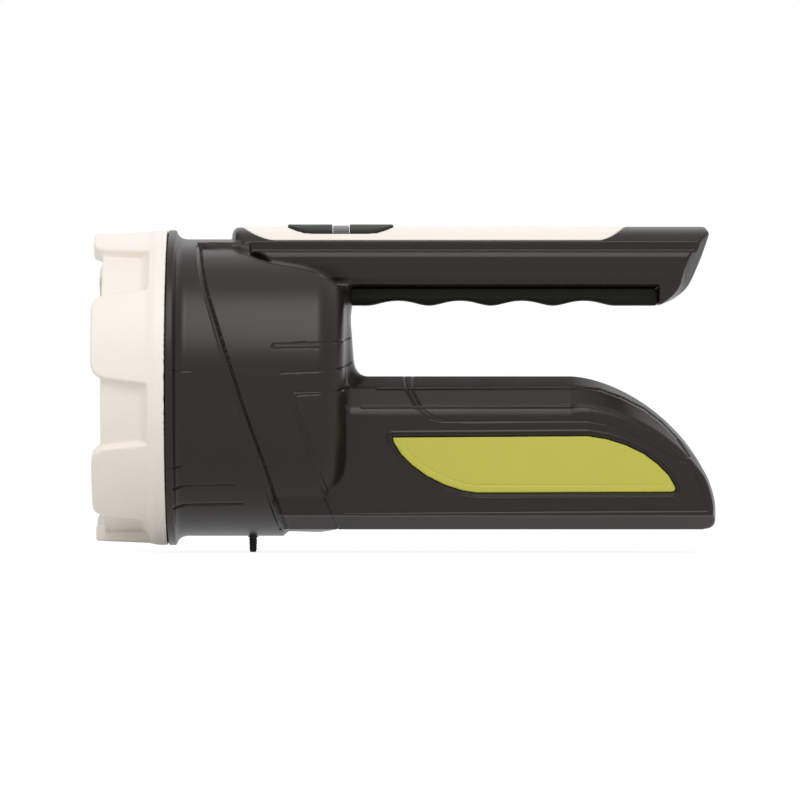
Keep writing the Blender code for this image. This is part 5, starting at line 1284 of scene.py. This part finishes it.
# Finish of each slot: linear colour, roughness, and what sets it apart from plain moulded plastic
LOOKS = {
    "black_plastic": ((0.012, 0.0095, 0.0078), 0.33, {"specular": 0.3, "tone": (1, 0.95, 0.94)}),
    "cream_plastic": (srgb(238, 230, 221), 0.45, {"tint": 0.02}),
    "lime_plastic": (srgb(190, 186, 72), 0.5, {"tint": 0.03}),
    "black_rubber": ((0.009, 0.009, 0.006), 0.75, {"bump": 0.1, "specular": 0.2}),
    "grey_rubber": ((0.05, 0.055, 0.04), 0.8, {"bump": 0.1, "specular": 0.2}),
    "button_rubber": ((0.015, 0.0145, 0.013), 0.6, {"bump": 0.06, "specular": 0.3}),
    "window_plastic": ((0.06, 0.059, 0.058), 0.3, {"specular": 0.3}),
    "clear_glass": ((0.96, 0.98, 0.98), 0.03, {"bump": 0.002, "tint": 0.01}),
    "chrome": ((0.9, 0.9, 0.91), 0.06, {"bump": 0.004, "tint": 0.01, "metallic": 1.0}),
    "aluminium": ((0.6, 0.61, 0.62), 0.5, {"bump": 0.15, "metallic": 1.0}),
    "steel": ((0.5, 0.5, 0.5), 0.35, {"bump": 0.05, "metallic": 1.0}),
    "board_green": ((0.03, 0.17, 0.07), 0.4, {}),
    "board_white": ((0.8, 0.8, 0.78), 0.4, {"tint": 0.02}),
    "phosphor": ((0.85, 0.72, 0.2), 0.3, {"tint": 0.03}),
    "holder_plastic": ((0.03, 0.03, 0.03), 0.6, {"bump": 0.08}),
    "cell_wrap": ((0.05, 0.2, 0.45), 0.3, {}),
    "wire_red": ((0.5, 0.02, 0.02), 0.45, {}),
    "wire_black": ((0.02, 0.02, 0.02), 0.45, {}),
}


def node(tree, kind, **inputs):
    """New node with these inputs set."""
    item = tree.nodes.new(kind)
    for name, value in inputs.items():
        item.inputs[name.replace("_", " ")].default_value = value
    return item


def math_node(tree, kind, operation, *values):
    """New math node. Each value is a socket to link, or a constant."""
    item = tree.nodes.new(kind)
    item.operation = operation
    for socket, value in zip(item.inputs, values):
        if isinstance(value, bpy.types.NodeSocket):
            tree.links.new(value, socket)
        else:
            socket.default_value = value
    return item


def moulded(name, colour, roughness, bump=0.02, tint=0.08, specular=0.5, metallic=0.0, tone=(1, 1, 1)):
    """A moulded or rolled surface: slight mottling, uneven gloss and a fine grain."""
    material = bpy.data.materials.new(name)
    material.use_nodes = True
    tree = material.node_tree
    link = tree.links.new
    shader = tree.nodes["Principled BSDF"]
    shader.inputs["Metallic"].default_value = metallic
    shader.inputs["Specular IOR Level"].default_value = specular
    shader.inputs["Specular Tint"].default_value = (*tone, 1)
    place = node(tree, "ShaderNodeTexCoord").outputs["Object"]
    cloud = node(tree, "ShaderNodeTexNoise", Scale=CLOUD_SCALE, Detail=CLOUD_DETAIL)
    link(place, cloud.inputs["Vector"])
    ramp = node(tree, "ShaderNodeValToRGB")
    ramp.color_ramp.elements[0].color = (*(c * (1 - tint) for c in colour), 1)
    ramp.color_ramp.elements[1].color = (*(min(1, c * (1 + tint)) for c in colour), 1)
    link(cloud.outputs["Fac"], ramp.inputs["Fac"])
    link(ramp.outputs["Color"], shader.inputs["Base Color"])
    gloss = node(tree, "ShaderNodeMapRange", To_Min=roughness * (1 - GLOSS_SPREAD),
                 To_Max=min(1, roughness * (1 + GLOSS_SPREAD)))
    link(cloud.outputs["Fac"], gloss.inputs["Value"])
    link(gloss.outputs["Result"], shader.inputs["Roughness"])
    fine = node(tree, "ShaderNodeTexNoise", Scale=GRAIN_SCALE, Detail=GRAIN_DETAIL)
    link(place, fine.inputs["Vector"])
    height = node(tree, "ShaderNodeBump", Strength=bump, Distance=GRAIN_DEPTH)
    link(fine.outputs["Fac"], height.inputs["Height"])
    link(height.outputs["Normal"], shader.inputs["Normal"])
    return material


def ring_mark(material, centre, radius, half_width, colour):
    """Prints a ring round an upright axis over the material's own colour. Lengths are in metres."""
    tree = material.node_tree
    shader = tree.nodes["Principled BSDF"]
    plain = shader.inputs["Base Color"].links[0].from_socket
    place = node(tree, "ShaderNodeTexCoord").outputs["Object"]
    middle = math_node(tree, "ShaderNodeVectorMath", "SUBTRACT", place, centre)
    flat = math_node(tree, "ShaderNodeVectorMath", "MULTIPLY", middle.outputs["Vector"], (1, 1, 0))
    reach = math_node(tree, "ShaderNodeVectorMath", "LENGTH", flat.outputs["Vector"])
    inside = math_node(tree, "ShaderNodeMath", "COMPARE", reach.outputs["Value"], radius, half_width)
    mix = tree.nodes.new("ShaderNodeMix")
    mix.data_type = "RGBA"
    tree.links.new(inside.outputs["Value"], mix.inputs["Factor"])
    tree.links.new(plain, mix.inputs["A"])
    mix.inputs["B"].default_value = (*colour, 1)
    tree.links.new(mix.outputs["Result"], shader.inputs["Base Color"])


def make_clear(material):
    shader = material.node_tree.nodes["Principled BSDF"]
    shader.inputs["Transmission Weight"].default_value = 1.0
    shader.inputs["IOR"].default_value = GLASS_IOR


def main_materials():
    """The material of each slot. The power button has a plain green ring."""
    materials = {}
    for slot, (colour, roughness, rest) in LOOKS.items():
        materials[slot] = moulded("look_" + slot, colour, roughness, **rest)
    make_clear(materials["clear_glass"])
    centre = to_world(np.array((button_places()[0], 0, 0)))
    ring_mark(materials["button_rubber"], centre, MARK_RADIUS * MM, MARK_HALF_WIDTH * MM, MARK_COLOUR)
    return materials


def repaint(materials):
    """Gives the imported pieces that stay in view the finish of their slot."""
    for row in frame["record"]["subparts"]:
        packed = frame["nodes"][row["node"]]
        packed.data.materials.clear()
        packed.data.materials.append(materials[row["material_slot"]])


# Pieces

def add_moulded(materials):
    """Bezel, strip, buttons, window and grip."""
    power_place, mode_place = button_places()
    power = button_field(PAD_FRONT, WINDOW_FRONT - GAP, power_place)
    mode = button_field(WINDOW_REAR + GAP, PAD_REAR, mode_place)
    for node_name, field, cell, slot, body in (
            ("bezel", bezel_field, BEZEL_CELL, "cream_plastic", "lamp"),
            ("handle_strip", strip_field, THIN_CELL, "cream_plastic", "lamp"),
            ("power_button", power, BUTTON_CELL, "button_rubber", "power_key"),
            ("mode_button", mode, BUTTON_CELL, "button_rubber", "mode_key"),
            ("indicator_window", window_field, BUTTON_CELL, "window_plastic", "lamp"),
            ("handle_grip", grip_field, GRIP_CELL, "black_rubber", "lamp")):
        add_piece(node_name, field_mesh(field, MESH_BOXES[node_name], cell), materials, slot, body)


def add_side_panels(materials):
    for node_name, mirrored in (("side_panel_right", False), ("side_panel_left", True)):
        mesh = field_mesh(side_panel_field, SIDE_PANEL_BOX, THIN_CELL)
        if mirrored:
            mirror_points(mesh)
            smooth_normals(mesh, side_panel_field, True)
        add_piece(node_name, mesh, materials, "lime_plastic")


def add_screws(materials):
    for index, (place, height) in enumerate(screw_places()):
        low = (place - SCREW_BOX_REACH, SCREW_BOX_LOW, height - SCREW_BOX_REACH)
        high = (place + SCREW_BOX_REACH, SCREW_BOX_HIGH, height + SCREW_BOX_REACH)
        mesh = field_mesh(screw_field(place, height), (low, high), SMALL_CELL)
        add_piece("housing_screw_%d" % (index + 1), mesh, materials, "steel")


def add_plug(materials):
    low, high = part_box("port_plug")
    profile = plug_profile((low.z - AXIS_Z) / MM, (high.z - AXIS_Z) / MM)
    mesh = turned_mesh(profile, (PORT_PLACE, 0), True)
    add_piece("port_plug", mesh, materials, "grey_rubber", "charging_plug")


def build_pieces(materials):
    for node_name, mirrored in (("housing_right", False), ("housing_left", True)):
        add_piece(node_name, shell_mesh(mirrored), materials, "black_plastic")
    add_moulded(materials)
    add_side_panels(materials)
    add_screws(materials)
    add_piece("reflector", turned_mesh(reflector_profile()), materials, "chrome")
    add_plug(materials)


# Studio

def backdrop_share(tree):
    """1 for what the camera sees, straight or in metal and glass, and 0 for the light on the object."""
    path = tree.nodes.new("ShaderNodeLightPath")
    share = path.outputs["Is Camera Ray"]
    for name in ("Is Glossy Ray", "Is Transmission Ray"):
        share = math_node(tree, "ShaderNodeMath", "MAXIMUM", share, path.outputs[name]).outputs["Value"]
    return share


def show_backdrop(tree, light, seen, output):
    """Joins the shader that lights the object and the one that is seen."""
    mix = tree.nodes.new("ShaderNodeMixShader")
    tree.links.new(backdrop_share(tree), mix.inputs["Fac"])
    tree.links.new(light.outputs[0], mix.inputs[1])
    tree.links.new(seen.outputs[0], mix.inputs[2])
    tree.links.new(mix.outputs["Shader"], tree.nodes[output].inputs["Surface"])


def studio_world():
    world = bpy.data.worlds.new("studio")
    bpy.context.scene.world = world
    world.use_nodes = True
    tree = world.node_tree
    fill = tree.nodes["Background"]
    fill.inputs["Color"].default_value = WHITE
    fill.inputs["Strength"].default_value = FILL_LIGHT
    seen = node(tree, "ShaderNodeBackground", Color=WHITE, Strength=1)
    show_backdrop(tree, fill, seen, "World Output")


def floor_material():
    """Pale floor that the camera sees as white, apart from the object's shadow."""
    material = bpy.data.materials.new("floor_white")
    material.use_nodes = True
    tree = material.node_tree
    tree.nodes.remove(tree.nodes["Principled BSDF"])
    pale = node(tree, "ShaderNodeBsdfDiffuse", Color=(*FLOOR_COLOUR, 1))
    shaded = node(tree, "ShaderNodeBsdfDiffuse", Color=(*SHADOW_COLOUR, 1))
    glow = node(tree, "ShaderNodeEmission", Color=WHITE, Strength=FLOOR_GLOW)
    both = tree.nodes.new("ShaderNodeAddShader")
    tree.links.new(shaded.outputs["BSDF"], both.inputs[0])
    tree.links.new(glow.outputs["Emission"], both.inputs[1])
    show_backdrop(tree, pale, both, "Material Output")
    return material


def studio_floor():
    mesh = bpy.data.meshes.new("floor")
    corners = [(-FLOOR_REACH, -FLOOR_REACH, 0), (FLOOR_REACH, -FLOOR_REACH, 0),
               (FLOOR_REACH, FLOOR_REACH, 0), (-FLOOR_REACH, FLOOR_REACH, 0)]
    mesh.from_pydata(corners, [], [(0, 1, 2, 3)])
    mesh.materials.append(floor_material())
    floor = bpy.data.objects.new("floor", mesh)
    bpy.context.scene.collection.objects.link(floor)


def soft_lamp(name, place, width, height, energy):
    """Rectangular soft lamp that faces the object."""
    light = bpy.data.lights.new(name, "AREA")
    light.shape = "RECTANGLE"
    light.size = width
    light.size_y = height
    light.energy = energy
    lamp = bpy.data.objects.new(name, light)
    lamp.location = place
    aim = Vector((0, 0, AXIS_Z)) - lamp.location
    lamp.rotation_euler = aim.to_track_quat("-Z", "Y").to_euler()
    bpy.context.scene.collection.objects.link(lamp)


def photo_camera():
    camera = bpy.data.objects.new("camera", bpy.data.cameras.new("camera"))
    bpy.context.scene.collection.objects.link(camera)
    camera.data.lens = CAMERA_LENS
    camera.data.sensor_width = SENSOR_WIDTH
    camera.data.clip_start = CLIP_START
    camera.data.clip_end = CLIP_END
    camera.location = to_world(np.array((CAMERA_X, -CAMERA_DISTANCE, CAMERA_Z)))
    camera.rotation_euler = (math.pi / 2, 0, 0)
    bpy.context.scene.camera = camera


def studio():
    bpy.context.scene.view_settings.view_transform = "Standard"
    photo_camera()
    studio_world()
    studio_floor()
    for row in LAMPS:
        soft_lamp(*row)


finishes = main_materials()
repaint(finishes)
build_pieces(finishes)
studio()
